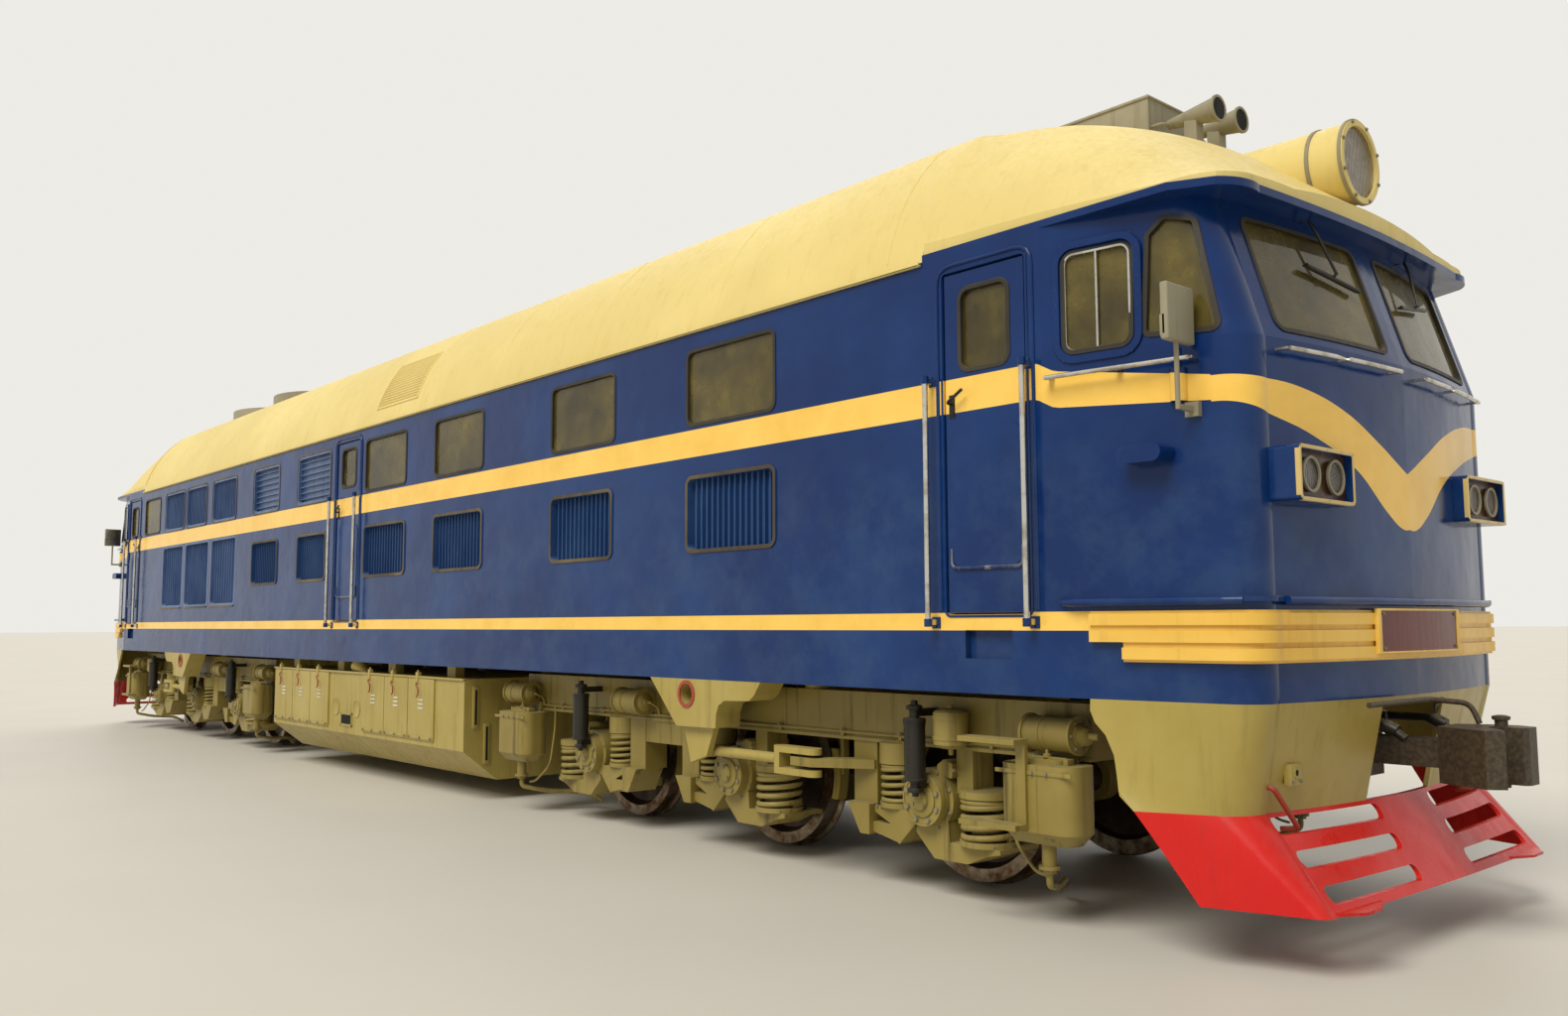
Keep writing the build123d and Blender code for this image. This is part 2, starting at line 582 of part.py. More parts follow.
# Louvred windows: a frame, upright fins and a plate behind them, one panel for each opening
FIN_PITCH = 62.0
FIN = 8.0
FIN_DEPTH = 30.0
LOUVRE_FRAME = 26.0
LOUVRE_BACK = 6.0
FRAME_PROUD = 10.0


def louvre_panels(openings, heights, proud, upright, pitch):
    # Panels in the right-hand wall: frame round each opening, fins across it, plate behind
    height = heights[1] - heights[0]
    middle_z = sum(heights) / 2
    with BuildPart(mode=Mode.PRIVATE) as panels:
        with BuildSketch(Plane.XZ.offset(HALF_WIDTH + proud)):
            for first, last in openings:
                with Locations(((first + last) / 2, middle_z)):
                    RectangleRounded(
                        last - first - 2 * FIT_GAP, height - 2 * FIT_GAP, WINDOW_CORNER - FIT_GAP
                    )
                    RectangleRounded(
                        last - first - 2 * LOUVRE_FRAME,
                        height - 2 * LOUVRE_FRAME,
                        WINDOW_CORNER - LOUVRE_FRAME,
                        mode=Mode.SUBTRACT,
                    )
        extrude(amount=-proud - WALL + LOUVRE_BACK)
        with BuildSketch(Plane.XZ.offset(INNER_Y)):
            for first, last in openings:
                with Locations(((first + last) / 2, middle_z)):
                    RectangleRounded(
                        last - first - 2 * FIT_GAP, height - 2 * FIT_GAP, WINDOW_CORNER - FIT_GAP
                    )
        extrude(amount=LOUVRE_BACK)
        with BuildSketch(Plane.XZ.offset(INNER_Y + LOUVRE_BACK)):
            for first, last in openings:
                width = last - first - 2 * LOUVRE_FRAME
                if upright:
                    count = round(width / pitch) - 1
                    with Locations(((first + last) / 2, middle_z)):
                        with GridLocations(width / (count + 1), 0, count, 1):
                            Rectangle(FIN, height - 2 * LOUVRE_FRAME + 2)
                else:
                    count = round((height - 2 * LOUVRE_FRAME) / pitch) - 1
                    with Locations(((first + last) / 2, middle_z)):
                        with GridLocations(0, height / (count + 1), 1, count):
                            Rectangle(width + 2, FIN)
        extrude(amount=FIN_DEPTH)
    return panels.part


lower_panels = louvre_panels(LOWER_LOUVRES, LOWER_Z, FRAME_PROUD, True, FIN_PITCH)
with BuildPart() as window_louvres:
    add(lower_panels)
    mirror(lower_panels, about=Plane.XZ)
window_louvres.part.label = "window_louvres"
export_step(window_louvres.part, "parts/window_louvres.step")

upright_panels = louvre_panels(UPRIGHT_SLATS, UPPER_Z, 0, True, FIN_PITCH)
level_panels = louvre_panels(LEVEL_SLATS, UPPER_Z, 0, False, FIN_PITCH)
tall_panels = louvre_panels(RADIATORS, RADIATOR_Z, 0, True, 1.6 * FIN_PITCH)
with BuildPart() as radiator_shutters:
    for panels in (upright_panels, level_panels, tall_panels):
        add(panels)
        mirror(panels, about=Plane.XZ)
radiator_shutters.part.label = "radiator_shutters"
export_step(radiator_shutters.part, "parts/radiator_shutters.step")

# Doors: a thick leaf with a glazed window, a pressed lower panel and knuckles inside
# columns: name, first X, last X, window sill, window head, mirrored to cab 2
DOOR_TABLE = (
    ("cab_1", CAB_DOOR_X, RAIL_Z + 2920, RAIL_Z + 3390, False),
    ("mid", MID_DOOR_X, RAIL_Z + 3000, RAIL_Z + 3420, False),
    ("cab_2", CAB_DOOR_X, RAIL_Z + 2920, RAIL_Z + 3390, True),
)
DOOR_RECESS = 6.0
DOOR_WINDOW_MARGIN = 100.0
DOOR_PRESSING = 6.0
PRESSING_Z = (RAIL_Z + 1850.0, RAIL_Z + 2600.0)
for door_name, door_x, sill_z, head_z, mirrored in DOOR_TABLE:
    door_middle = sum(door_x) / 2
    door_width = door_x[1] - door_x[0]
    with BuildPart() as leaf:
        with BuildSketch(Plane.XZ.offset(HALF_WIDTH - DOOR_RECESS)):
            with Locations((door_middle, (DOOR_FOOT_Z + DOOR_HEAD_Z) / 2)):
                Rectangle(door_width, DOOR_HEAD_Z - DOOR_FOOT_Z)
            with Locations((door_middle, (sill_z + head_z) / 2)):
                RectangleRounded(
                    door_width - 2 * DOOR_WINDOW_MARGIN,
                    head_z - sill_z,
                    WINDOW_CORNER,
                    mode=Mode.SUBTRACT,
                )
        extrude(amount=-WALL + DOOR_RECESS)
        with BuildSketch(Plane.XZ.offset(HALF_WIDTH - DOOR_RECESS)):
            with Locations((door_middle, sum(PRESSING_Z) / 2)):
                RectangleRounded(door_width - 60, PRESSING_Z[1] - PRESSING_Z[0], WINDOW_CORNER)
        extrude(amount=DOOR_PRESSING)
        with BuildSketch(Plane.XZ.offset(HALF_WIDTH - 2 * DOOR_RECESS - GLASS_INSET)):
            with Locations((door_middle, (sill_z + head_z) / 2)):
                RectangleRounded(
                    door_width - 2 * DOOR_WINDOW_MARGIN - 2 * FIT_GAP,
                    head_z - sill_z - 2 * FIT_GAP,
                    WINDOW_CORNER - FIT_GAP,
                )
        extrude(amount=-GLASS)
        for hinge_z in HINGE_HEIGHTS:
            hinge_x = door_x[1] + DOOR_GAP / 2
            with Locations((hinge_x, -INNER_Y + HINGE_R, hinge_z + HINGE_LENGTH / 2 - FIT_GAP / 2)):
                Cylinder(HINGE_R, HINGE_LENGTH / 2, align=(Align.CENTER, Align.CENTER, Align.MAX))
                with Locations((-HINGE_R - DOOR_GAP / 2, 0, -HINGE_LENGTH / 4)):
                    Box(2 * HINGE_R + DOOR_GAP, 2 * HINGE_R, HINGE_LENGTH / 2)
    for side, hand in ((-1, "right"), (1, "left")):
        with BuildPart() as door:
            add(leaf.part, mode=Mode.PRIVATE)
            turned = leaf.part
            if side == 1:
                turned = mirror(turned, about=Plane.XZ, mode=Mode.PRIVATE)
            if mirrored:
                turned = mirror(turned, about=Plane.YZ, mode=Mode.PRIVATE)
            add(turned)
        door.part.label = f"door_{door_name}_{hand}"
        export_step(door.part, f"parts/door_{door_name}_{hand}.step")

# Fan cowls let into the roof behind the engine room, each round a free-turning fan
COWL_TOP_Z = RAIL_Z + 4720.0
COWL_FOOT_Z = RAIL_Z + 4300.0
FAN_Z = RAIL_Z + 4560.0
FAN_CLEARANCE = 25.0
FAN_HUB_R = 160.0
FAN_SHAFT_R = 40.0
FAN_BLADES = 8
FAN_BLADE_PITCH = 32.0
with BuildPart() as fan_cowls:
    for fan_x in FAN_X:
        with BuildSketch(Plane.XY.offset(COWL_FOOT_Z)):
            with Locations((fan_x, 0)):
                Circle(COWL_R)
                Circle(FAN_R + FAN_CLEARANCE, mode=Mode.SUBTRACT)
        extrude(amount=COWL_TOP_Z - COWL_FOOT_Z)
        with BuildSketch(Plane.XY.offset(COWL_FOOT_Z)):
            for arm in (0, 90):
                with Locations(Location((fan_x, 0), arm)):
                    Rectangle(2 * COWL_R - 20, 70)
            with Locations((fan_x, 0)):
                Circle(FAN_HUB_R)
                Circle(FAN_SHAFT_R + RUNNING_GAP, mode=Mode.SUBTRACT)
        extrude(amount=60)
fan_cowls.part.label = "fan_cowls"
export_step(fan_cowls.part, "parts/fan_cowls.step")

FAN_BLADE_LENGTH = FAN_R - FAN_HUB_R + 30
for number, fan_x in enumerate(FAN_X, start=1):
    with BuildPart() as fan:
        with BuildSketch(Plane.XY.offset(FAN_Z - 60)):
            with Locations((fan_x, 0)):
                Circle(FAN_HUB_R)
        extrude(amount=120)
        with BuildSketch(Plane.XY.offset(FAN_Z - 60)):
            with Locations((fan_x, 0)):
                Circle(FAN_SHAFT_R)
        extrude(amount=-(FAN_Z - 60 - COWL_FOOT_Z) - 20)
        for blade in range(FAN_BLADES):
            turn = blade * 360 / FAN_BLADES
            with Locations(Location((fan_x, 0, FAN_Z), (0, 0, turn))):
                blade_x = FAN_HUB_R + FAN_BLADE_LENGTH / 2 - 30
                with Locations(Location((blade_x, 0, 0), (FAN_BLADE_PITCH, 0, 0))):
                    Box(FAN_BLADE_LENGTH, 190, 8)
    fan.part.label = f"cooling_fan_{number}"
    export_step(fan.part, f"parts/cooling_fan_{number}.step")

# Roof hatches: curved covers proud of the roof over the engine room
HATCH_PROUD = 28.0
HATCH_Y = 640.0
# columns: first X, last X
HATCHES = ((-2900, -1500), (-1400, 0), (100, 1500), (1600, 3000), (3100, 4500), (4700, 6100), (6200, 7600))
with BuildPart() as roof_hatches:
    for first, last in HATCHES:
        with BuildSketch(Plane.YZ.offset(first)):
            add(roof_face(SHOULDER_Y, SHOULDER_Z, ROOF_TOP_Z, -HATCH_PROUD, EAVE_Z))
            add(
                roof_face(SHOULDER_Y, SHOULDER_Z, ROOF_TOP_Z, 0, EAVE_Z),
                mode=Mode.SUBTRACT,
            )
            with Locations((0, ROOF_TOP_Z)):
                Rectangle(2 * HATCH_Y, 600, mode=Mode.INTERSECT)
        extrude(amount=last - first)
roof_hatches.part.label = "roof_hatches"
export_step(roof_hatches.part, "parts/roof_hatches.step")

# Horns: a box and two trumpets on the crown of each dome
ROOF_BOX_X = (8090.0, 8780.0)
ROOF_BOX_Y = 280.0
ROOF_BOX_TOP_Z = RAIL_Z + 4727.0
HORN_X = 8990.0
HORN_Z = RAIL_Z + 4560.0
HORN_Y = 130.0
HORN_LENGTH = 330.0
with BuildPart() as horn:
    with Locations((sum(ROOF_BOX_X) / 2, 0, ROOF_BOX_TOP_Z)):
        Box(
            ROOF_BOX_X[1] - ROOF_BOX_X[0],
            2 * ROOF_BOX_Y,
            500,
            align=(Align.CENTER, Align.CENTER, Align.MAX),
        )
    for side in (1, -1):
        with Locations((HORN_X, side * HORN_Y, HORN_Z)):
            Box(80, 80, 600, align=(Align.CENTER, Align.CENTER, Align.MAX))
        with Locations(Location((HORN_X - HORN_LENGTH / 2, side * HORN_Y, HORN_Z), (0, 90, 0))):
            Cone(28, 75, HORN_LENGTH, align=(Align.CENTER, Align.CENTER, Align.MIN))
    add(dome_outside, mode=Mode.SUBTRACT)
with BuildPart() as roof_horns:
    add(horn.part)
    mirror(horn.part, about=Plane.YZ)
roof_horns.part.label = "roof_horns"
export_step(roof_horns.part, "parts/roof_horns.step")

# Headlamps: bezel and bowl in the barrel of each dome, the lens in its own node
LAMP_RECESS = 120.0
BEZEL_PROUD = 18.0
LENS = 8.0
with BuildPart() as headlamp:
    with BuildSketch(Plane.XZ):
        with BuildLine():
            mouth = LAMP_R - LAMP_WALL - FIT_GAP
            Polyline(
                (LAMP_FRONT_X - LAMP_RECESS, LAMP_Z),
                (LAMP_FRONT_X - LAMP_RECESS, LAMP_Z + 60),
                (LAMP_FRONT_X - 40, LAMP_Z + mouth),
                (LAMP_FRONT_X + FIT_GAP, LAMP_Z + mouth),
                (LAMP_FRONT_X + FIT_GAP, LAMP_Z + LAMP_R + 6),
                (LAMP_FRONT_X + BEZEL_PROUD, LAMP_Z + LAMP_R + 6),
                (LAMP_FRONT_X + BEZEL_PROUD, LAMP_Z + mouth - 14),
                (LAMP_FRONT_X - 40, LAMP_Z + mouth - 14),
                (LAMP_FRONT_X - LAMP_RECESS + 12, LAMP_Z + 50),
                (LAMP_FRONT_X - LAMP_RECESS + 12, LAMP_Z),
                close=True,
            )
        make_face()
    revolve(axis=Axis((0, 0, LAMP_Z), (1, 0, 0)))
with BuildPart() as headlamps:
    add(headlamp.part)
    mirror(headlamp.part, about=Plane.YZ)
headlamps.part.label = "headlamps"
export_step(headlamps.part, "parts/headlamps.step")

# Marker lamps: a twin-lamp box on each side of the nose and a small lamp on each flank
MARKER_Y = (700.0, 1250.0)
MARKER_Z = (RAIL_Z + 2100.0, RAIL_Z + 2360.0)
MARKER_FRONT_X = NOSE_X + 35.0
MARKER_RIM = 18.0
MARKER_RECESS = 40.0
MARKER_LENS_R = 82.0
FLANK_LAMP_X = 9480.0
FLANK_LAMP_Z = RAIL_Z + 2350.0
FLANK_LAMP = (240.0, 90.0)
MARKER_MIDDLE_Y = sum(MARKER_Y) / 2
MARKER_MIDDLE_Z = sum(MARKER_Z) / 2
with BuildPart() as marker:
    with BuildSketch(Plane.YZ.offset(MARKER_FRONT_X)):
        with Locations((-MARKER_MIDDLE_Y, MARKER_MIDDLE_Z), (MARKER_MIDDLE_Y, MARKER_MIDDLE_Z)):
            RectangleRounded(MARKER_Y[1] - MARKER_Y[0], MARKER_Z[1] - MARKER_Z[0], 20)
    extrude(amount=-300)
    with BuildSketch(Plane.YZ.offset(MARKER_FRONT_X)):
        with Locations((-MARKER_MIDDLE_Y, MARKER_MIDDLE_Z), (MARKER_MIDDLE_Y, MARKER_MIDDLE_Z)):
            RectangleRounded(
                MARKER_Y[1] - MARKER_Y[0] - 2 * MARKER_RIM, MARKER_Z[1] - MARKER_Z[0] - 2 * MARKER_RIM, 12
            )
    extrude(amount=-MARKER_RECESS, mode=Mode.SUBTRACT)
    with BuildSketch(Plane.XZ.offset(-HALF_WIDTH - 40)):
        with Locations((FLANK_LAMP_X, FLANK_LAMP_Z)):
            SlotOverall(FLANK_LAMP[0], FLANK_LAMP[1])
    extrude(amount=2 * (HALF_WIDTH + 40))
    add(cab_outside, mode=Mode.SUBTRACT)
with BuildPart() as marker_lamps:
    add(marker.part)
    mirror(marker.part, about=Plane.YZ)
marker_lamps.part.label = "marker_lamps"
export_step(marker_lamps.part, "parts/marker_lamps.step")

with BuildPart() as lens:
    with BuildSketch(Plane.YZ.offset(LAMP_FRONT_X - LENS)):
        with Locations((0, LAMP_Z)):
            Circle(LAMP_R - LAMP_WALL - 15)
    extrude(amount=LENS)
    with BuildSketch(Plane.YZ.offset(MARKER_FRONT_X - MARKER_RECESS)):
        for side in (1, -1):
            with Locations((side * MARKER_MIDDLE_Y, MARKER_MIDDLE_Z)):
                with GridLocations(3 * MARKER_LENS_R, 0, 2, 1):
                    Circle(MARKER_LENS_R)
    extrude(amount=2 * LENS)
with BuildPart() as lamp_lenses:
    add(lens.part)
    mirror(lens.part, about=Plane.YZ)
lamp_lenses.part.label = "lamp_lenses"
export_step(lamp_lenses.part, "parts/lamp_lenses.step")

# Handrails: uprights beside each door, and rails under the cab's side and front windows
RAIL_R = 16.0
RAIL_STANDOFF = 70.0
UPRIGHT_Z = (RAIL_Z + 1530.0, RAIL_Z + 2910.0)
UPRIGHT_X = (8152.0, 8826.0)
MID_UPRIGHT_X = (-470.0, 205.0)
BRACKET = 30.0
WAIST_RAIL_Z = RAIL_Z + 2790.0
THIN_RAIL_R = 12.0
# columns: X and Y along each rail, from its first bracket to its last
WAIST_RAIL = ((8960.0, 1602.0), (9335.0, 1550.5), (9715.0, 1498.5))
FRONT_RAIL_Z = RAIL_Z + 2830.0
FRONT_RAIL = ((10127.0, 150.0), (10094.0, 650.0), (10029.0, 1150.0))


def upright_rails(places):
    # Uprights on the right-hand wall, each on two square brackets
    with BuildPart(mode=Mode.PRIVATE) as rails:
        for rail_x in places:
            with Locations((rail_x, -HALF_WIDTH - RAIL_STANDOFF, UPRIGHT_Z[0])):
                Cylinder(RAIL_R, UPRIGHT_Z[1] - UPRIGHT_Z[0], align=(Align.CENTER, Align.CENTER, Align.MIN))
            for bracket_z in (UPRIGHT_Z[0] + 20, UPRIGHT_Z[1] - 20):
                with Locations((rail_x, -HALF_WIDTH, bracket_z)):
                    Box(BRACKET, RAIL_STANDOFF, BRACKET, align=(Align.CENTER, Align.MAX, Align.CENTER))
    return rails.part


with BuildPart() as thin_rails:
    waist_start, waist_middle, waist_end = WAIST_RAIL
    waist_run = Vector(waist_end[0] - waist_start[0], waist_start[1] - waist_end[1], 0)
    with BuildSketch(Plane(origin=(waist_start[0], -waist_start[1], WAIST_RAIL_Z), z_dir=waist_run)):
        Circle(THIN_RAIL_R)
    extrude(amount=waist_run.length)
    with BuildLine():
        front_path = ThreePointArc(*((x, -y, FRONT_RAIL_Z) for x, y in FRONT_RAIL))
    with BuildSketch(Plane(origin=front_path @ 0, z_dir=front_path % 0)):
        Circle(THIN_RAIL_R)
    sweep(path=front_path)
    for post_x, post_y in WAIST_RAIL:
        with Locations((post_x, -post_y, WAIST_RAIL_Z)):
            Box(BRACKET, 120, THIN_RAIL_R, align=(Align.CENTER, Align.MIN, Align.CENTER))
    for post_x, post_y in FRONT_RAIL:
        with Locations((post_x, -post_y, FRONT_RAIL_Z)):
            Box(130, BRACKET, THIN_RAIL_R, align=(Align.MAX, Align.CENTER, Align.CENTER))
    add(cab_outside, mode=Mode.SUBTRACT)
with BuildPart() as handrails:
    add(thin_rails.part)
    add(upright_rails(UPRIGHT_X))
    mirror(about=Plane.YZ)
    add(upright_rails(MID_UPRIGHT_X))
    mirror(about=Plane.XZ)
handrails.part.label = "handrails"
export_step(handrails.part, "parts/handrails.step")

# Mirrors: a plate facing rearward on an upright arm at each cab's corner
MIRROR_X = 9700.0
MIRROR_Y = (1470.0, 1700.0)
MIRROR_Z = (RAIL_Z + 2850.0, RAIL_Z + 3120.0)
MIRROR_PLATE = 24.0
MIRROR_ARM_R = 12.0
MIRROR_ARM_Y = 1585.0
MIRROR_FOOT_Z = RAIL_Z + 2545.0
MIRROR_BASE = (70.0, 24.0)
with BuildPart() as mirror_set:
    with BuildSketch(Plane.YZ.offset(MIRROR_X - MIRROR_PLATE / 2)):
        with Locations((-sum(MIRROR_Y) / 2, sum(MIRROR_Z) / 2)):
            RectangleRounded(MIRROR_Y[1] - MIRROR_Y[0], MIRROR_Z[1] - MIRROR_Z[0], 25)
    extrude(amount=MIRROR_PLATE)
    with Locations((MIRROR_X, -MIRROR_ARM_Y, MIRROR_FOOT_Z - MIRROR_ARM_R)):
        Cylinder(
            MIRROR_ARM_R,
            MIRROR_Z[0] - MIRROR_FOOT_Z + 2 * MIRROR_ARM_R,
            align=(Align.CENTER, Align.CENTER, Align.MIN),
        )
    with Locations((MIRROR_X, -MIRROR_ARM_Y, MIRROR_FOOT_Z)):
        Box(2 * MIRROR_ARM_R, 400, 2 * MIRROR_ARM_R, align=(Align.CENTER, Align.MIN, Align.CENTER))
    with Locations((MIRROR_X, -MIRROR_Y[0], MIRROR_FOOT_Z)):
        Box(MIRROR_BASE[0], 400, MIRROR_BASE[0], align=(Align.CENTER, Align.MIN, Align.CENTER))
    add(cab_outside, mode=Mode.SUBTRACT)
    with BuildSketch(Plane.XZ.offset(-2 * HALF_WIDTH)):
        with Locations((MIRROR_X, MIRROR_FOOT_Z)):
            Rectangle(4 * MIRROR_BASE[0], 4 * MIRROR_BASE[0])
        with Locations((MIRROR_X, MIRROR_FOOT_Z + 4 * MIRROR_BASE[0])):
            Rectangle(1000, 4 * MIRROR_BASE[0])
    extrude(amount=4 * HALF_WIDTH, mode=Mode.INTERSECT)
    with BuildSketch(Plane.YZ.offset(MIRROR_X - 200)):
        with Locations((-HALF_WIDTH, MIRROR_FOOT_Z)):
            Rectangle(400, 1500)
    extrude(amount=400, mode=Mode.INTERSECT)
with BuildPart() as mirrors:
    add(mirror_set.part)
    mirror(about=Plane.XZ)
    mirror(about=Plane.YZ)
mirrors.part.label = "mirrors"
export_step(mirrors.part, "parts/mirrors.step")

# Fuel tank with its battery boxes: folded tank hung under the frame, lids proud of its sides
TANK_X = (-2290.0, 2470.0)
TANK_TOP_Z = RAIL_Z + 1060.0
TANK_Y = 1490.0
TANK_FOLD_Z = RAIL_Z + 420.0
TANK_FOOT_Z = RAIL_Z + 150.0
TANK_FOOT_Y = 1150.0
LID_PROUD = 14.0
LID_Z = (RAIL_Z + 470.0, RAIL_Z + 1040.0)
LID_GAP = 12.0
# columns: first X, last X
BATTERY_LIDS = ((-2226, -1689), (-1689, -1159), (-1159, -625), (270, 798), (798, 1341), (1341, 1900))
HANGER_X = (-1900.0, -600.0, 700.0, 2000.0)
with BuildPart() as fuel_tank:
    with BuildSketch(Plane.YZ.offset(TANK_X[0])):
        with BuildLine():
            Polyline(
                (0, TANK_FOOT_Z),
                (TANK_FOOT_Y, TANK_FOOT_Z),
                (TANK_Y, TANK_FOLD_Z),
                (TANK_Y, TANK_TOP_Z),
                (0, TANK_TOP_Z),
                close=True,
            )
        make_face()
        mirror(about=Plane.YZ)
    extrude(amount=TANK_X[1] - TANK_X[0])
    for first, last in BATTERY_LIDS:
        with Locations(((first + last) / 2, 0, sum(LID_Z) / 2)):
            Box(last - first - LID_GAP, 2 * (TANK_Y + LID_PROUD), LID_Z[1] - LID_Z[0])
    for hanger_x in HANGER_X:
        with Locations((hanger_x, 0, TANK_TOP_Z)):
            for hanger_y in (1340, -1340, CENTRE_SILL_Y, -CENTRE_SILL_Y):
                with Locations((0, hanger_y, 0)):
                    Box(160, 90, SILL_Z - TANK_TOP_Z, align=(Align.CENTER, Align.CENTER, Align.MIN))
fuel_tank.part.label = "fuel_tank"
export_step(fuel_tank.part, "parts/fuel_tank.step")

# Couplers: shank and knuckle head at each end, carried in the draft pocket
COUPLER_Z = RAIL_Z + 880.0
COUPLER_FACE_X = 10550.0
SHANK = (170.0, 140.0)
SHANK_BACK_X = 9300.0
HEAD_BACK_X = 10200.0
HEAD_HEIGHT = 280.0
with BuildPart() as coupler:
    with Locations((SHANK_BACK_X, 0, COUPLER_Z)):
        Box(HEAD_BACK_X - SHANK_BACK_X + 60, SHANK[0], SHANK[1], align=(Align.MIN, Align.CENTER, Align.CENTER))
    with BuildSketch(Plane.XY.offset(COUPLER_Z - HEAD_HEIGHT / 2)):
        with BuildLine():
            Polyline(
                (HEAD_BACK_X, -120),
                (HEAD_BACK_X + 150, -190),
                (HEAD_BACK_X + 260, -230),
                (HEAD_BACK_X + 330, -170),
                (HEAD_BACK_X + 250, -60),
                (HEAD_BACK_X + 190, 0),
                (HEAD_BACK_X + 190, 60),
                (COUPLER_FACE_X - 20, 60),
                (COUPLER_FACE_X, 90),
                (COUPLER_FACE_X, 190),
                (COUPLER_FACE_X - 90, 235),
                (HEAD_BACK_X + 130, 200),
                (HEAD_BACK_X, 120),
                close=True,
            )
        make_face()
    extrude(amount=HEAD_HEIGHT)
    with Locations((SHANK_BACK_X, 0, COUPLER_Z)):
        Box(500, 360, 300, align=(Align.MIN, Align.CENTER, Align.CENTER))
        Box(80, 360, SILL_Z - COUPLER_Z, align=(Align.MIN, Align.CENTER, Align.MIN))
with BuildPart() as couplers:
    add(coupler.part)
    mirror(coupler.part, about=Plane.YZ)
couplers.part.label = "couplers"
export_step(couplers.part, "parts/couplers.step")

# Engine and generator as one block, and the cabs' desks and seats
ENGINE_X = (-2200.0, 3600.0)
ENGINE_Y = 750.0
ENGINE_TOP_Z = RAIL_Z + 3450.0
with BuildPart() as engine_block:
    with Locations((sum(ENGINE_X) / 2, 0, FLOOR_Z)):
        Box(
            ENGINE_X[1] - ENGINE_X[0],
            2 * ENGINE_Y,
            ENGINE_TOP_Z - FLOOR_Z,
            align=(Align.CENTER, Align.CENTER, Align.MIN),
        )
engine_block.part.label = "engine_block"
export_step(engine_block.part, "parts/engine_block.step")

DESK_X = (9330.0, 9760.0)
DESK_Y = 1150.0
DESK_Z = (RAIL_Z + 2350.0, RAIL_Z + 2620.0)
SEAT_X = 9080.0
SEAT_Y = 720.0
SEAT_SIZE = 420.0
SEAT_Z = FLOOR_Z + 480.0
with BuildPart() as desk:
    with BuildSketch(Plane.XZ.offset(-DESK_Y)):
        with BuildLine():
            Polyline(
                (DESK_X[0] + 120, FLOOR_Z),
                (DESK_X[0] + 120, DESK_Z[0] - 160),
                (DESK_X[0], DESK_Z[0] - 60),
                (DESK_X[0], DESK_Z[0]),
                (DESK_X[0] + 260, DESK_Z[1]),
                (DESK_X[1], DESK_Z[1]),
                (DESK_X[1], FLOOR_Z + FIT_GAP),
                (FRAME_END_X, FLOOR_Z + FIT_GAP),
                (FRAME_END_X, FLOOR_Z),
                close=True,
            )
        make_face()
    extrude(amount=2 * DESK_Y)
with BuildPart() as cab_desks:
    add(desk.part)
    mirror(desk.part, about=Plane.YZ)
cab_desks.part.label = "cab_desks"
export_step(cab_desks.part, "parts/cab_desks.step")

with BuildPart() as seat:
    for side in (1, -1):
        with Locations((SEAT_X, side * SEAT_Y, SEAT_Z)):
            Box(SEAT_SIZE, SEAT_SIZE, 110)
        with Locations((SEAT_X - SEAT_SIZE / 2 + 45, side * SEAT_Y, SEAT_Z + 55)):
            Box(90, SEAT_SIZE, 520, align=(Align.CENTER, Align.CENTER, Align.MIN))
        with Locations((SEAT_X, side * SEAT_Y, FLOOR_Z)):
            Cylinder(60, SEAT_Z - 55 - FLOOR_Z, align=(Align.CENTER, Align.CENTER, Align.MIN))
            Cylinder(180, 20, align=(Align.CENTER, Align.CENTER, Align.MIN))
with BuildPart() as cab_seats:
    add(seat.part)
    mirror(seat.part, about=Plane.YZ)
cab_seats.part.label = "cab_seats"
export_step(cab_seats.part, "parts/cab_seats.step")

# Wheelsets: one turned profile for axle, wheels, flanges and journals
WHEEL_BACK_Y = BACK_TO_BACK / 2
WHEEL_FACE_Y = WHEEL_BACK_Y + TYRE_WIDTH
HUB_R = 165.0
RIM_R = WHEEL_R - 75.0
WEB_Y = (718.0, 748.0)
JOURNAL_END_Y = 1230.0
WHEELSET_PROFILE = (
    (0, 0),
    (0, AXLE_R),
    (660, AXLE_R),
    (660, HUB_R),
    (700, HUB_R + 8),
    (WEB_Y[0], HUB_R + 70),
    (WEB_Y[0], RIM_R - 30),
    (WHEEL_BACK_Y, RIM_R),
    (WHEEL_BACK_Y, WHEEL_R + 18),
    (WHEEL_BACK_Y + 8, WHEEL_R + FLANGE_DEPTH),
    (WHEEL_BACK_Y + 22, WHEEL_R + FLANGE_DEPTH),
    (WHEEL_BACK_Y + 34, WHEEL_R + 4),
    (WHEEL_BACK_Y + 42, WHEEL_R),
    (WHEEL_FACE_Y, WHEEL_R),
    (WHEEL_FACE_Y, RIM_R),
    (WEB_Y[1], RIM_R - 30),
    (WEB_Y[1], HUB_R + 50),
    (830, HUB_R),
    (830, JOURNAL_R + 15),
    (850, JOURNAL_R),
    (JOURNAL_END_Y, JOURNAL_R),
    (JOURNAL_END_Y, 0),
)
wheelset_places = [BOGIE_X + offset_x for offset_x in AXLE_OFFSETS]
wheelset_places += [-place for place in reversed(wheelset_places)]
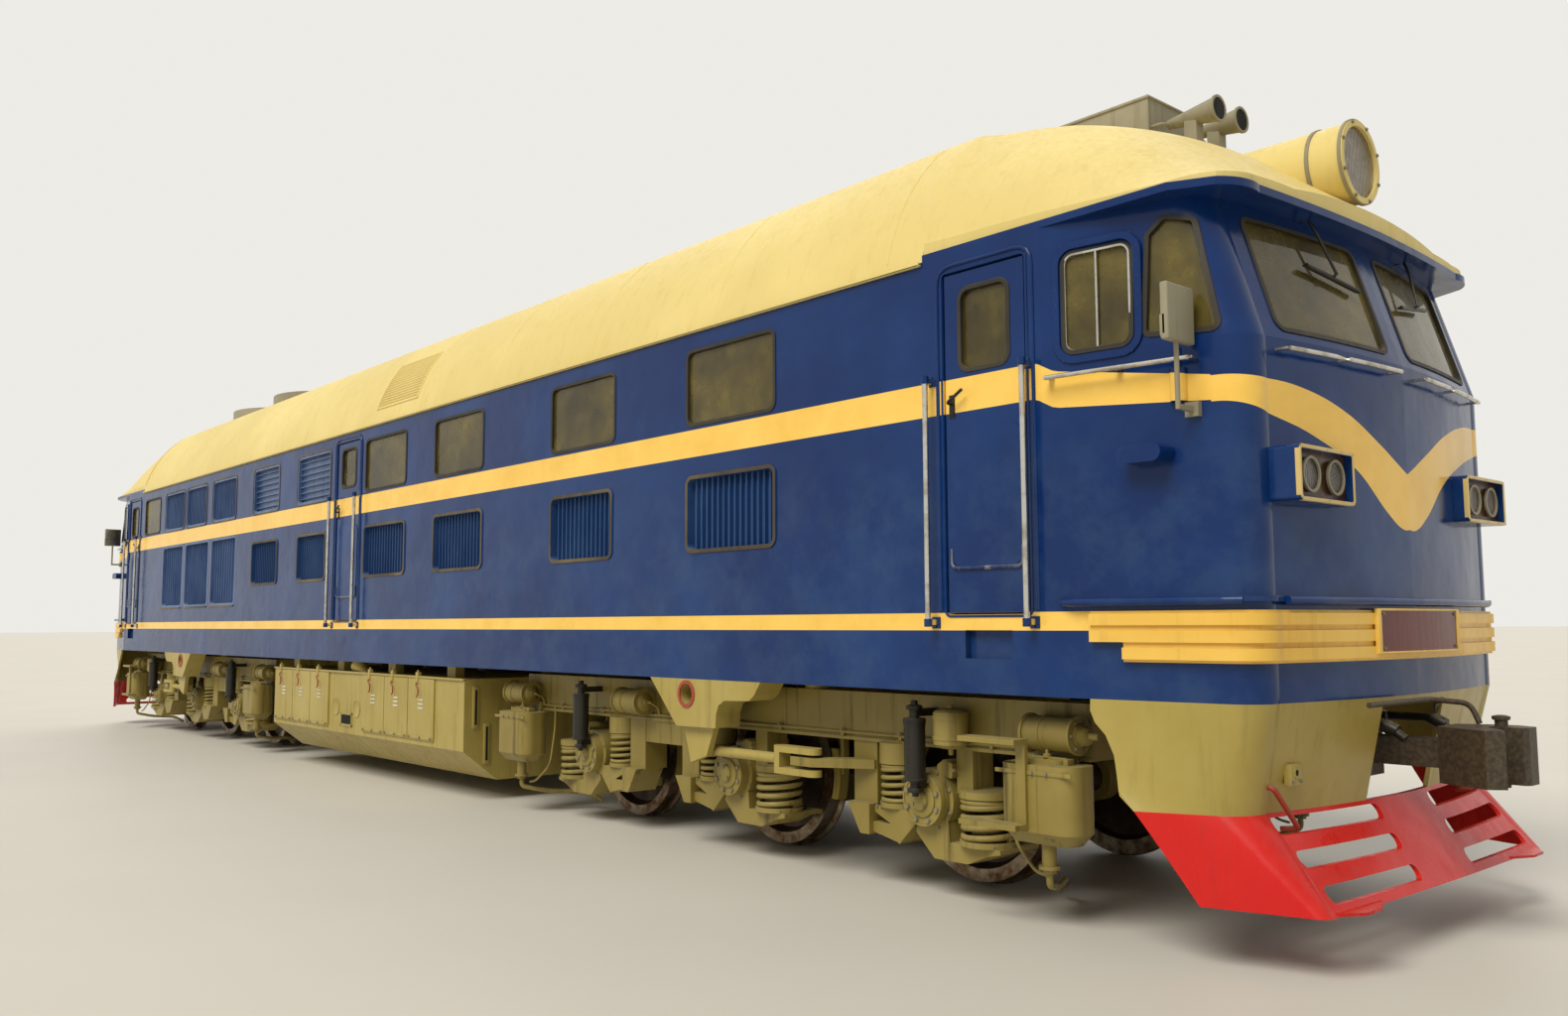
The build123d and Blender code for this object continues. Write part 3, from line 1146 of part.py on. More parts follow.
for number, axle_x in enumerate(wheelset_places, start=1):
    with BuildPart() as wheelset:
        with BuildSketch(Plane.YZ.offset(axle_x)):
            with BuildLine():
                Polyline(*((y, AXLE_Z + r) for y, r in WHEELSET_PROFILE), close=True)
            make_face()
            mirror(about=Plane.YZ)
        revolve(axis=Axis((axle_x, 0, AXLE_Z), (0, 1, 0)))
    wheelset.part.label = f"wheelset_{number}"
    export_step(wheelset.part, f"parts/wheelset_{number}.step")

# Bogie frame: side beams with guide posts and spring seats, joined by transoms
BEAM_Y = (970.0, 1200.0)
BEAM_Z = (RAIL_Z + 820.0, FRAME_TOP_Z)
BEAM_END = 2900.0
FLANGE_PLATE = 20.0
FLANGE_PROUD = 14.0
TRANSOM_Z = RAIL_Z + 985.0
TRANSOM_OFFSETS = (2780.0, 1030.0, -1050.0, -2840.0)
TRANSOM_WIDTH = 120.0
HANGER_OFFSET = 600.0
HANGER_BRACKET = (60.0, 90.0)
HANGER_Y = 766.5
PIVOT_BOX = 520.0
# Each axle has one spring set low and one set high, columns: axle offset, side of the low spring
AXLE_TABLE = ((AXLE_GAP, 1), (0.0, 1), (-AXLE_GAP, -1))
LOW_SPRING_OFFSET = 350.0
HIGH_SPRING_OFFSET = 318.0
SPRING_Y = 1140.0
LOW_SPRING_R = 158.0
HIGH_SPRING_R = 127.0
LOW_SEAT_Z = (RAIL_Z + 325.0, RAIL_Z + 560.0)
HIGH_SEAT_Z = (RAIL_Z + 470.0, RAIL_Z + 700.0)
SEAT_PLATE = 40.0
COLUMN_OFFSET = 235.0
COLUMN_WIDTH = 120.0
POST_OFFSET = 565.0
POST_WIDTH = 200.0
POST_DEPTH = 200.0
POST_FOOT_Z = (RAIL_Z + 270.0, RAIL_Z + 450.0)
POST_FOOT_Y = (1020.0, 1275.0)
DEEP_WEB_Z = RAIL_Z + 655.0
CRANK_Z = (RAIL_Z + 655.0, RAIL_Z + 710.0)
# columns: X from the bogie's middle, Y
CRANK_PLAN = ((800, 1360), (800, 1440), (985, 1440), (1330, 1220), (1330, 1180), (1150, 1180), (960, 1360))
with BuildPart() as bogie_1_frame:
    for side in (1, -1):
        with Locations((BOGIE_X, side * sum(BEAM_Y) / 2, sum(BEAM_Z) / 2)):
            Box(2 * BEAM_END, BEAM_Y[1] - BEAM_Y[0], BEAM_Z[1] - BEAM_Z[0])
        with Locations((BOGIE_X, side * sum(BEAM_Y) / 2, BEAM_Z[0] + FLANGE_PLATE / 2)):
            Box(2 * BEAM_END, BEAM_Y[1] - BEAM_Y[0] + 2 * FLANGE_PROUD, FLANGE_PLATE)
        for axle_offset, low in AXLE_TABLE:
            axle_x = BOGIE_X + axle_offset
            post_x = axle_x - low * POST_OFFSET
            with Locations((post_x, side * (BEAM_Y[1] - POST_DEPTH / 2), POST_FOOT_Z[1] - 5)):
                Box(
                    POST_WIDTH,
                    POST_DEPTH,
                    BEAM_Z[0] - POST_FOOT_Z[1] + 10,
                    align=(Align.CENTER, Align.CENTER, Align.MIN),
                )
            with BuildSketch(Plane.XZ.offset(-side * POST_FOOT_Y[0])):
                with BuildLine():
                    Polyline(
                        (post_x - low * 0.42 * POST_WIDTH, POST_FOOT_Z[1]),
                        (post_x + low * POST_WIDTH / 2, POST_FOOT_Z[1]),
                        (post_x + low * POST_WIDTH / 2, POST_FOOT_Z[0]),
                        (post_x + low * 0.1 * POST_WIDTH, POST_FOOT_Z[0]),
                        close=True,
                    )
                make_face()
            extrude(amount=-side * (POST_FOOT_Y[1] - POST_FOOT_Y[0]))
            with Locations((axle_x + low * LOW_SPRING_OFFSET, side * SPRING_Y, LOW_SEAT_Z[1])):
                Cylinder(LOW_SPRING_R + 4, SEAT_PLATE, align=(Align.CENTER, Align.CENTER, Align.MIN))
            with Locations((axle_x + low * COLUMN_OFFSET, side * (BEAM_Y[1] - 90), LOW_SEAT_Z[1] + 10)):
                Box(
                    COLUMN_WIDTH,
                    180,
                    BEAM_Z[0] - LOW_SEAT_Z[1] - 5,
                    align=(Align.CENTER, Align.CENTER, Align.MIN),
                )
            with Locations((axle_x - low * HIGH_SPRING_OFFSET, side * SPRING_Y, HIGH_SEAT_Z[1])):
                Cylinder(
                    HIGH_SPRING_R + 6,
                    BEAM_Z[0] - HIGH_SEAT_Z[1] + 5,
                    align=(Align.CENTER, Align.CENTER, Align.MIN),
                )
        with Locations((BOGIE_X - AXLE_GAP / 2, side * (BEAM_Y[1] - POST_DEPTH / 2), DEEP_WEB_Z)):
            Box(
                AXLE_GAP - 2 * POST_OFFSET,
                POST_DEPTH - 10,
                BEAM_Z[0] - DEEP_WEB_Z + 5,
                align=(Align.CENTER, Align.CENTER, Align.MIN),
            )
        with BuildSketch(Plane.XY.offset(CRANK_Z[0])):
            with BuildLine():
                Polyline(*((BOGIE_X + x, side * y) for x, y in CRANK_PLAN), close=True)
            make_face()
        extrude(amount=CRANK_Z[1] - CRANK_Z[0])
        for axle_offset in AXLE_OFFSETS:
            for hanger_side in (1, -1):
                bracket_x = BOGIE_X + axle_offset + hanger_side * HANGER_OFFSET
                with Locations((bracket_x, side * (BEAM_Y[0] + HANGER_Y) / 2, FRAME_TOP_Z)):
                    Box(
                        HANGER_BRACKET[0],
                        BEAM_Y[0] - HANGER_Y + HANGER_BRACKET[0],
                        HANGER_BRACKET[1],
                        align=(Align.CENTER, Align.CENTER, Align.MAX),
                    )
        with Locations((BOGIE_X, side * PIVOT_BOX / 2, (TRANSOM_Z + FRAME_TOP_Z) / 2)):
            Box(TRANSOM_OFFSETS[1] - TRANSOM_OFFSETS[2], TRANSOM_WIDTH, FRAME_TOP_Z - TRANSOM_Z)
    for transom_x in TRANSOM_OFFSETS:
        with Locations((BOGIE_X + transom_x, 0, (TRANSOM_Z + FRAME_TOP_Z) / 2)):
            Box(TRANSOM_WIDTH, 2 * BEAM_Y[0] + 10, FRAME_TOP_Z - TRANSOM_Z)
    with Locations((BOGIE_X, 0, (TRANSOM_Z + FRAME_TOP_Z) / 2)):
        Box(PIVOT_BOX, PIVOT_BOX, FRAME_TOP_Z - TRANSOM_Z)
        Cylinder(PIVOT_R + RUNNING_GAP, 2 * (FRAME_TOP_Z - TRANSOM_Z), mode=Mode.SUBTRACT)
bogie_1_frame.part.label = "bogie_1_frame"
export_step(bogie_1_frame.part, "parts/bogie_1_frame.step")

# Axleboxes: round housings bored for the journals, with one low and one high wing for the springs
BOX_Y = (900.0, 1240.0)
BOX_R = 180.0
CAP_R = 150.0
CAP_END_Y = 1305.0
JOURNAL_END_GAP = 10.0
SEAT_LIP = 30.0
# Outlines, columns: X toward the low spring and height, both from the axle
LOW_WING_Z = LOW_SEAT_Z[0] - AXLE_Z - SEAT_LIP
LOW_WING = ((-90, -120), (140, -120), (150, LOW_WING_Z), (515, LOW_WING_Z), (515, -255), (420, -275),
            (280, -335), (30, -335), (-110, -200))
HIGH_WING_Z = HIGH_SEAT_Z[0] - AXLE_Z - SEAT_LIP
HIGH_WING = ((0, HIGH_WING_Z), (-450, HIGH_WING_Z), (-450, -120), (-325, -175), (-325, -235),
             (-250, -290), (-120, -160), (0, -160))
UPPER_LUG = ((60, 150), (165, 130), (COLUMN_OFFSET - COLUMN_WIDTH / 2 - FIT_GAP, 150),
             (COLUMN_OFFSET - COLUMN_WIDTH / 2 - FIT_GAP, 215), (110, 235), (60, 200))
LOWER_LINK = ((-240, -285), (-POST_OFFSET + POST_WIDTH / 2 + FIT_GAP, -240),
              (-POST_OFFSET + POST_WIDTH / 2 + FIT_GAP, -180), (-300, -180), (-240, -220))
with BuildPart() as bogie_1_axleboxes:
    for axle_offset, low in AXLE_TABLE:
        box_x = BOGIE_X + axle_offset
        for side in (1, -1):
            with BuildSketch(Plane.XZ.offset(-side * BOX_Y[0])):
                with Locations((box_x, AXLE_Z)):
                    Circle(BOX_R)
                for outline in (LOW_WING, HIGH_WING, UPPER_LUG, LOWER_LINK):
                    with BuildLine():
                        Polyline(*((box_x + low * x, AXLE_Z + z) for x, z in outline), close=True)
                    make_face()
            extrude(amount=-side * (BOX_Y[1] - BOX_Y[0]))
            for wing_x, seats, spring_r in (
                (low * LOW_SPRING_OFFSET, LOW_SEAT_Z, LOW_SPRING_R),
                (-low * HIGH_SPRING_OFFSET, HIGH_SEAT_Z, HIGH_SPRING_R),
            ):
                with Locations((box_x + wing_x, side * SPRING_Y, seats[0])):
                    Cylinder(spring_r + 4, SEAT_LIP, align=(Align.CENTER, Align.CENTER, Align.MAX))
            with BuildSketch(Plane.XZ.offset(-side * BOX_Y[1])):
                with Locations((box_x, AXLE_Z)):
                    Circle(CAP_R)
            extrude(amount=-side * (CAP_END_Y - BOX_Y[1]))
            with BuildSketch(Plane.XZ.offset(-side * BOX_Y[0])):
                with Locations((box_x, AXLE_Z)):
                    Circle(JOURNAL_R + RUNNING_GAP)
            extrude(amount=-side * (JOURNAL_END_Y + JOURNAL_END_GAP - BOX_Y[0]), mode=Mode.SUBTRACT)
bogie_1_axleboxes.part.label = "bogie_1_axleboxes"
export_step(bogie_1_axleboxes.part, "parts/bogie_1_axleboxes.step")

# Springs: each coil's turns as rings on a thin sleeve between the wing and the frame's seat
# columns: X toward the low side, seats, coil radius, wire, turns
SPRING_TABLE = (
    (LOW_SPRING_OFFSET, LOW_SEAT_Z, LOW_SPRING_R, 36.0, 4),
    (-HIGH_SPRING_OFFSET, HIGH_SEAT_Z, HIGH_SPRING_R, 28.0, 5),
)
with BuildPart() as bogie_1_springs:
    for axle_offset, low in AXLE_TABLE:
        for spring_offset, seats, spring_r, wire, turns in SPRING_TABLE:
            spring_x = BOGIE_X + axle_offset + low * spring_offset
            for side in (1, -1):
                with BuildSketch(Plane.XZ.offset(-side * SPRING_Y)):
                    with Locations((spring_x + spring_r - wire / 2, sum(seats) / 2)):
                        Rectangle(10, seats[1] - seats[0])
                        pitch = (seats[1] - seats[0] - wire) / (turns - 1)
                        with GridLocations(0, pitch, 1, turns):
                            Rectangle(wire, wire)
                revolve(axis=Axis((spring_x, side * SPRING_Y, 0), (0, 0, 1)))
bogie_1_springs.part.label = "bogie_1_springs"
export_step(bogie_1_springs.part, "parts/bogie_1_springs.step")

# Dampers: telescopic struts from a frame bracket down to the cap of each outer axlebox
DAMPER_R = 62.0
DAMPER_ROD_R = 30.0
DAMPER_Y = CAP_END_Y + DAMPER_R + 12.0
DAMPER_Z = (RAIL_Z + 600.0, RAIL_Z + 1050.0)
DAMPER_TUBE_Z = (RAIL_Z + 645.0, RAIL_Z + 1000.0)
DAMPER_OFFSETS = (AXLE_GAP + 15.0, -AXLE_GAP + 30.0)
with BuildPart() as bogie_1_dampers:
    for damper_x in DAMPER_OFFSETS:
        for side in (1, -1):
            side_align = Align.MIN if side == 1 else Align.MAX
            with Locations((BOGIE_X + damper_x, side * DAMPER_Y, DAMPER_TUBE_Z[0])):
                Cylinder(
                    DAMPER_R, DAMPER_TUBE_Z[1] - DAMPER_TUBE_Z[0], align=(Align.CENTER, Align.CENTER, Align.MIN)
                )
            with Locations((BOGIE_X + damper_x, side * DAMPER_Y, DAMPER_Z[0])):
                Cylinder(DAMPER_ROD_R, DAMPER_Z[1] - DAMPER_Z[0], align=(Align.CENTER, Align.CENTER, Align.MIN))
            with Locations((BOGIE_X + damper_x, side * BEAM_Y[1], DAMPER_Z[1])):
                Box(70, DAMPER_Y - BEAM_Y[1], 40, align=(Align.CENTER, side_align, Align.MAX))
            with Locations((BOGIE_X + damper_x, side * CAP_END_Y, DAMPER_Z[0])):
                Box(70, DAMPER_Y - CAP_END_Y, 40, align=(Align.CENTER, side_align, Align.MIN))
bogie_1_dampers.part.label = "bogie_1_dampers"
export_step(bogie_1_dampers.part, "parts/bogie_1_dampers.step")

# Brakes: a shoe on each side of each wheel, hung from the frame, with cylinders and air tanks outside
SHOE_GAP = 8.0
SHOE = 60.0
SHOE_ARC_Z = 170.0
SHOE_WIDTH = 80.0
BRAKE_CYLINDER_R = 92.0
BRAKE_CYLINDER_LENGTH = 320.0
BRAKE_CYLINDER_Y = 1300.0
BRAKE_CYLINDER_Z = RAIL_Z + 962.0
BRAKE_CYLINDERS = (2740.0, -1160.0, -2830.0)
AIR_TANK_OFFSET = 2030.0
AIR_TANK_R = 100.0
AIR_TANK_Z = (RAIL_Z + 860.0, RAIL_Z + 1040.0)
with BuildPart() as bogie_1_brakes:
    for axle_offset in AXLE_OFFSETS:
        for side in (1, -1):
            with BuildSketch(Plane.XZ.offset(-side * HANGER_Y + SHOE_WIDTH / 2)):
                with Locations((BOGIE_X + axle_offset, AXLE_Z)):
                    Circle(WHEEL_R + SHOE_GAP + SHOE)
                    Circle(WHEEL_R + SHOE_GAP, mode=Mode.SUBTRACT)
                    Rectangle(4 * WHEEL_R, 2 * SHOE_ARC_Z, mode=Mode.INTERSECT)
            extrude(amount=-SHOE_WIDTH)
            for shoe_side in (1, -1):
                hanger_x = BOGIE_X + axle_offset + shoe_side * HANGER_OFFSET
                with Locations((hanger_x, side * HANGER_Y, AXLE_Z)):
                    Box(
                        30,
                        50,
                        FRAME_TOP_Z - HANGER_BRACKET[1] - AXLE_Z,
                        align=(Align.CENTER, Align.CENTER, Align.MIN),
                    )
    for side in (1, -1):
        side_align = Align.MIN if side == 1 else Align.MAX
        for cylinder_x in BRAKE_CYLINDERS:
            cylinder_place = (BOGIE_X + cylinder_x, side * BRAKE_CYLINDER_Y, BRAKE_CYLINDER_Z)
            with Locations(Location(cylinder_place, (0, 90, 0))):
                Cylinder(BRAKE_CYLINDER_R, BRAKE_CYLINDER_LENGTH)
            with Locations((BOGIE_X + cylinder_x, side * BEAM_Y[1], BRAKE_CYLINDER_Z)):
                Box(120, BRAKE_CYLINDER_Y - BEAM_Y[1], 100, align=(Align.CENTER, side_align, Align.CENTER))
        with Locations((BOGIE_X + AIR_TANK_OFFSET, side * (BEAM_Y[1] + AIR_TANK_R + 10), AIR_TANK_Z[0])):
            Cylinder(AIR_TANK_R, AIR_TANK_Z[1] - AIR_TANK_Z[0], align=(Align.CENTER, Align.CENTER, Align.MIN))
        with Locations((BOGIE_X + AIR_TANK_OFFSET, side * BEAM_Y[1], sum(AIR_TANK_Z) / 2)):
            Box(60, AIR_TANK_R, 60, align=(Align.CENTER, side_align, Align.CENTER))
bogie_1_brakes.part.label = "bogie_1_brakes"
export_step(bogie_1_brakes.part, "parts/bogie_1_brakes.step")

# Sandboxes: round-cornered hoppers on the beam ends with a dished foot and a spout, and the crew's treads
SANDBOX_OFFSET = 2730.0
SANDBOX_LENGTH = 480.0
SANDBOX_Y = (1225.0, 1480.0)
SANDBOX_Z = (RAIL_Z + 470.0, RAIL_Z + 812.0)
SANDBOX_CORNER = 95.0
DISH = 65.0
SPOUT_Z = RAIL_Z + 250.0
SPOUT_R = 38.0
SANDBOX_HANGER = (200.0, 160.0)
TREAD = 28.0
TREAD_OFFSETS = (2320.0, 2700.0)
TREAD_Y = (SANDBOX_Y[1], 1590.0)
TREAD_TOPS = (RAIL_Z + 945.0, RAIL_Z + 510.0)
with BuildPart() as bogie_1_sandboxes:
    for side in (1, -1):
        for box_side in (1, -1):
            box_x = BOGIE_X + box_side * SANDBOX_OFFSET
            side_align = Align.MIN if side == 1 else Align.MAX
            with BuildSketch(Plane.XY.offset(SANDBOX_Z[0])):
                with Locations((box_x, side * sum(SANDBOX_Y) / 2)):
                    RectangleRounded(SANDBOX_LENGTH, SANDBOX_Y[1] - SANDBOX_Y[0], SANDBOX_CORNER)
            extrude(amount=SANDBOX_Z[1] - SANDBOX_Z[0])
            with BuildSketch(Plane.XY.offset(SANDBOX_Z[0])):
                with Locations((box_x, side * sum(SANDBOX_Y) / 2)):
                    RectangleRounded(SANDBOX_LENGTH, SANDBOX_Y[1] - SANDBOX_Y[0], SANDBOX_CORNER)
            extrude(amount=-DISH, taper=42)
            with BuildSketch(Plane.XY.offset(SANDBOX_Z[1])):
                with Locations((box_x, side * sum(SANDBOX_Y) / 2)):
                    SlotOverall(230, 110)
            extrude(amount=24)
            with Locations((box_x, side * sum(SANDBOX_Y) / 2, SPOUT_Z)):
                Cylinder(
                    SPOUT_R,
                    SANDBOX_Z[0] - DISH / 2 - SPOUT_Z,
                    align=(Align.CENTER, Align.CENTER, Align.MIN),
                )
            with Locations((box_x, side * BEAM_Y[1], SANDBOX_Z[1])):
                Box(
                    SANDBOX_HANGER[0],
                    SANDBOX_Y[0] - BEAM_Y[1] + 10,
                    SANDBOX_HANGER[1],
                    align=(Align.CENTER, side_align, Align.CENTER),
                )
                Box(
                    2 * SANDBOX_HANGER[0],
                    2 * (FLANGE_PROUD + FIT_GAP),
                    FLANGE_PLATE + 40,
                    align=(Align.CENTER, Align.CENTER, Align.CENTER),
                    mode=Mode.SUBTRACT,
                )
        for tread_top in TREAD_TOPS:
            with Locations((BOGIE_X + sum(TREAD_OFFSETS) / 2, side * TREAD_Y[0], tread_top)):
                Box(
                    TREAD_OFFSETS[1] - TREAD_OFFSETS[0],
                    TREAD_Y[1] - TREAD_Y[0],
                    TREAD,
                    align=(Align.CENTER, side_align, Align.MAX),
                )
        with Locations((BOGIE_X + TREAD_OFFSETS[1], side * (TREAD_Y[0] - 2), TREAD_TOPS[1] - TREAD)):
            Box(
                60,
                24,
                TREAD_TOPS[0] - TREAD_TOPS[1] + TREAD,
                align=(Align.MAX, side_align, Align.MIN),
            )
bogie_1_sandboxes.part.label = "bogie_1_sandboxes"
export_step(bogie_1_sandboxes.part, "parts/bogie_1_sandboxes.step")

# Traction motors: one behind each axle, hung on it by two bearing arms
MOTOR_OFFSET = 540.0
MOTOR_R = 370.0
MOTOR_LENGTH = 1040.0
ARM_WIDTH = 130.0
ARM_Y = 400.0
ARM_R = 160.0
NOSE_LAP = 200.0
NOSE_REACH = 120.0
NOSE_WIDTH = 400.0
NOSE_DEPTH = 260.0
with BuildPart() as bogie_1_motors:
    for axle_offset in AXLE_OFFSETS:
        axle_x = BOGIE_X + axle_offset
        with BuildSketch(Plane.XZ.offset(-MOTOR_LENGTH / 2)):
            with Locations((axle_x - MOTOR_OFFSET, AXLE_Z)):
                RegularPolygon(MOTOR_R, 8, major_radius=False, rotation=22.5)
        extrude(amount=MOTOR_LENGTH)
        for side in (1, -1):
            with BuildSketch(Plane.XZ.offset(-side * ARM_Y + ARM_WIDTH / 2)):
                with Locations((axle_x, AXLE_Z)):
                    Circle(ARM_R)
                with Locations((axle_x - MOTOR_OFFSET / 2, AXLE_Z)):
                    Rectangle(MOTOR_OFFSET, 1.6 * ARM_R)
            extrude(amount=-ARM_WIDTH)
        nose_x = axle_x - MOTOR_OFFSET - MOTOR_R
        with Locations((nose_x + NOSE_LAP, 0, TRANSOM_Z)):
            Box(NOSE_LAP + NOSE_REACH, NOSE_WIDTH, NOSE_DEPTH, align=(Align.MAX, Align.CENTER, Align.MAX))
        with Locations(Location((axle_x, 0, AXLE_Z), (90, 0, 0))):
            Cylinder(AXLE_R + RUNNING_GAP, 2 * MOTOR_LENGTH, mode=Mode.SUBTRACT)
bogie_1_motors.part.label = "bogie_1_motors"
export_step(bogie_1_motors.part, "parts/bogie_1_motors.step")

# The second bogie is the first one turned end for end
for name, piece in (
    ("frame", bogie_1_frame),
    ("axleboxes", bogie_1_axleboxes),
    ("springs", bogie_1_springs),
    ("dampers", bogie_1_dampers),
    ("brakes", bogie_1_brakes),
    ("sandboxes", bogie_1_sandboxes),
    ("motors", bogie_1_motors),
):
    with BuildPart() as twin:
        mirror(piece.part, about=Plane.YZ)
    twin.part.label = f"bogie_2_{name}"
    export_step(twin.part, f"parts/bogie_2_{name}.step")

# Lifting brackets: deep castings under the sill with a jacking hole, and the traction rod's seat plate
# columns: X and height above the rail
BRACKET_OUTLINE = ((5420, 1170), (5735, 845), (6170, 852), (6178, 950), (6205, 1005), (6265, 1038),
                   (6520, 1046), (6575, 1085), (6635, 1170))
SEAT_OUTLINE = ((5745, 880), (5835, 600), (6010, 655), (6110, 880))
BRACKET_Y = (1340.0, 1550.0)
SEAT_PLATE_Y = (1455.0, 1500.0)
JACK_HOLE_X = 5850.0
JACK_HOLE_Z = RAIL_Z + 1067.0
JACK_HOLE_R = 70.0
with BuildPart() as bracket:
    with BuildSketch(Plane.XZ.offset(BRACKET_Y[1])):
        with BuildLine():
            Polyline(*((x, RAIL_Z + z) for x, z in BRACKET_OUTLINE), close=True)
        make_face()
        with Locations((JACK_HOLE_X, JACK_HOLE_Z)):
            Circle(JACK_HOLE_R, mode=Mode.SUBTRACT)
    extrude(amount=BRACKET_Y[0] - BRACKET_Y[1])
    with BuildSketch(Plane.XZ.offset(SEAT_PLATE_Y[1])):
        with BuildLine():
            Polyline(*((x, RAIL_Z + z) for x, z in SEAT_OUTLINE), close=True)
        make_face()
    extrude(amount=SEAT_PLATE_Y[0] - SEAT_PLATE_Y[1])
with BuildPart() as lifting_brackets:
    add(bracket.part)
    mirror(about=Plane.XZ)
    mirror(about=Plane.YZ)
lifting_brackets.part.label = "lifting_brackets"
export_step(lifting_brackets.part, "parts/lifting_brackets.step")

# Traction rods: from the bracket's seat plate to a fork whose jaws hold the bogie's crank
ROD_Z = RAIL_Z + 682.0
ROD_Y = 1400.0
ROD_R = 34.0
ROD_EYE = (110.0, 72.0)
FORK_X = (6620.0, 7030.0)
FORK_ROOT = 80.0
FORK_WIDTH = 96.0
JAW_Z = (RAIL_Z + 592.0, RAIL_Z + 768.0)
JAW_GAP = (CRANK_Z[0] - 22.0, CRANK_Z[1] + 18.0)
with BuildPart() as rod:
    with Locations(Location((JACK_HOLE_X + 100, -ROD_Y, ROD_Z), (0, 90, 0))):
        Cylinder(ROD_R, FORK_X[0] - JACK_HOLE_X - 90, align=(Align.CENTER, Align.CENTER, Align.MIN))
    with Locations((JACK_HOLE_X + 100, -SEAT_PLATE_Y[0], ROD_Z)):
        Box(
            ROD_EYE[0],
            SEAT_PLATE_Y[0] - ROD_Y + ROD_R,
            ROD_EYE[1],
            align=(Align.CENTER, Align.MIN, Align.CENTER),
        )
    with BuildSketch(Plane.XY.offset(JAW_Z[0])):
        with Locations((sum(FORK_X) / 2, -ROD_Y)):
            SlotOverall(FORK_X[1] - FORK_X[0], FORK_WIDTH)
    extrude(amount=JAW_Z[1] - JAW_Z[0])
    with Locations((FORK_X[0] + FORK_ROOT, -ROD_Y, JAW_GAP[0])):
        Box(
            FORK_X[1] - FORK_X[0],
            2 * FORK_WIDTH,
            JAW_GAP[1] - JAW_GAP[0],
            align=(Align.MIN, Align.CENTER, Align.MIN),
            mode=Mode.SUBTRACT,
        )
with BuildPart() as traction_rods:
    add(rod.part)
    mirror(about=Plane.XZ)
    mirror(about=Plane.YZ)
traction_rods.part.label = "traction_rods"
export_step(traction_rods.part, "parts/traction_rods.step")
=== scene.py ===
import math

import bmesh
import bpy
from mathutils import Matrix, Vector
from mathutils.bvhtree import BVHTree


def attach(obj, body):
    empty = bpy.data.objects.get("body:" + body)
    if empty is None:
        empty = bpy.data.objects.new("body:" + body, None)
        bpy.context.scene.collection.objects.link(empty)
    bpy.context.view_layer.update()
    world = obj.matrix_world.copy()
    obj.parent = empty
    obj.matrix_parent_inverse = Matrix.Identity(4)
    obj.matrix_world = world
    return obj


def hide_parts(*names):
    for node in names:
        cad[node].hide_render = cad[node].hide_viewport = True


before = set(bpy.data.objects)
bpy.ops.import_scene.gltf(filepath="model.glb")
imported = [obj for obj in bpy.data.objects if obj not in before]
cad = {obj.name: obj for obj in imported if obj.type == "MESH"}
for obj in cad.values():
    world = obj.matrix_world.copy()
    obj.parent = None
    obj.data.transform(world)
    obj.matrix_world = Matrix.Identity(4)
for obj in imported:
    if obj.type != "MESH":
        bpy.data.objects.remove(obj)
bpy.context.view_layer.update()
# End 1 is cab 1's, hand -1 is the right side as seen from a seat in cab 1.
ENDS, HANDS, SIDES = (1, -1), (-1, 1), {-1: "right", 1: "left"}
CORNERS = [(end, hand) for end in ENDS for hand in HANDS]
UP, DOWN = (0, 0, 1), (0, 0, -1)

# Camera. It stands at a person's eye level near the front corner, and looks
# along the body towards its far end.
LENS_MM = 28.68
EYE = Vector((12.811, -6.753, 1.575))
YAW, PITCH, ROLL = (math.radians(a) for a in (-48.766, 5.276, -0.230))
ahead = Vector((math.sin(YAW) * math.cos(PITCH), math.cos(YAW) * math.cos(PITCH), math.sin(PITCH)))
level = Vector((math.cos(YAW), -math.sin(YAW), 0))
above = level.cross(ahead)
right = math.cos(ROLL) * level + math.sin(ROLL) * above
top = -math.sin(ROLL) * level + math.cos(ROLL) * above
camera = bpy.data.objects.new("viewpoint", bpy.data.cameras.new("viewpoint"))
bpy.context.scene.collection.objects.link(camera)
camera.data.lens = LENS_MM
camera.data.clip_start, camera.data.clip_end = 0.05, 900
camera.matrix_world = Matrix.Translation(EYE) @ Matrix((right, top, -ahead)).transposed().to_4x4()
bpy.context.scene.camera = camera
bpy.context.scene.view_settings.view_transform = "Standard"


# Hall floor and light. Worn screed under a pale backdrop, lit evenly by broad
# soft light from the roof and by the light that the bright hall gives back.
def linear(code):
    parts = [int(code[i:i + 2], 16) / 255 for i in (1, 3, 5)]
    return tuple(p / 12.92 if p <= 0.04045 else ((p + 0.055) / 1.055) ** 2.4 for p in parts) + (1.0,)


def node(tree, kind, sockets=(), **settings):
    made = tree.nodes.new(kind)
    for name, value in settings.items():
        setattr(made, name, value)
    for key, value in dict(sockets).items():
        if isinstance(value, bpy.types.NodeSocket):
            tree.links.new(value, made.inputs[key])
        else:
            made.inputs[key].default_value = value
    return made


def maths(tree, operation, *values, **settings):
    return node(tree, "ShaderNodeMath", enumerate(values), operation=operation, **settings).outputs[0]


def noise(tree, place, scale, detail, rough=0.5):
    return node(tree, "ShaderNodeTexNoise", {"Vector": place, "Scale": scale, "Detail": detail,
                                             "Roughness": rough}).outputs["Fac"]


def blank_material(name):
    """An empty material, its tree, and the place on the object that its patterns follow."""
    made = bpy.data.materials.new(name)
    made.use_nodes = True
    made.node_tree.nodes.clear()
    return made, made.node_tree, node(made.node_tree, "ShaderNodeTexCoord").outputs["Object"]


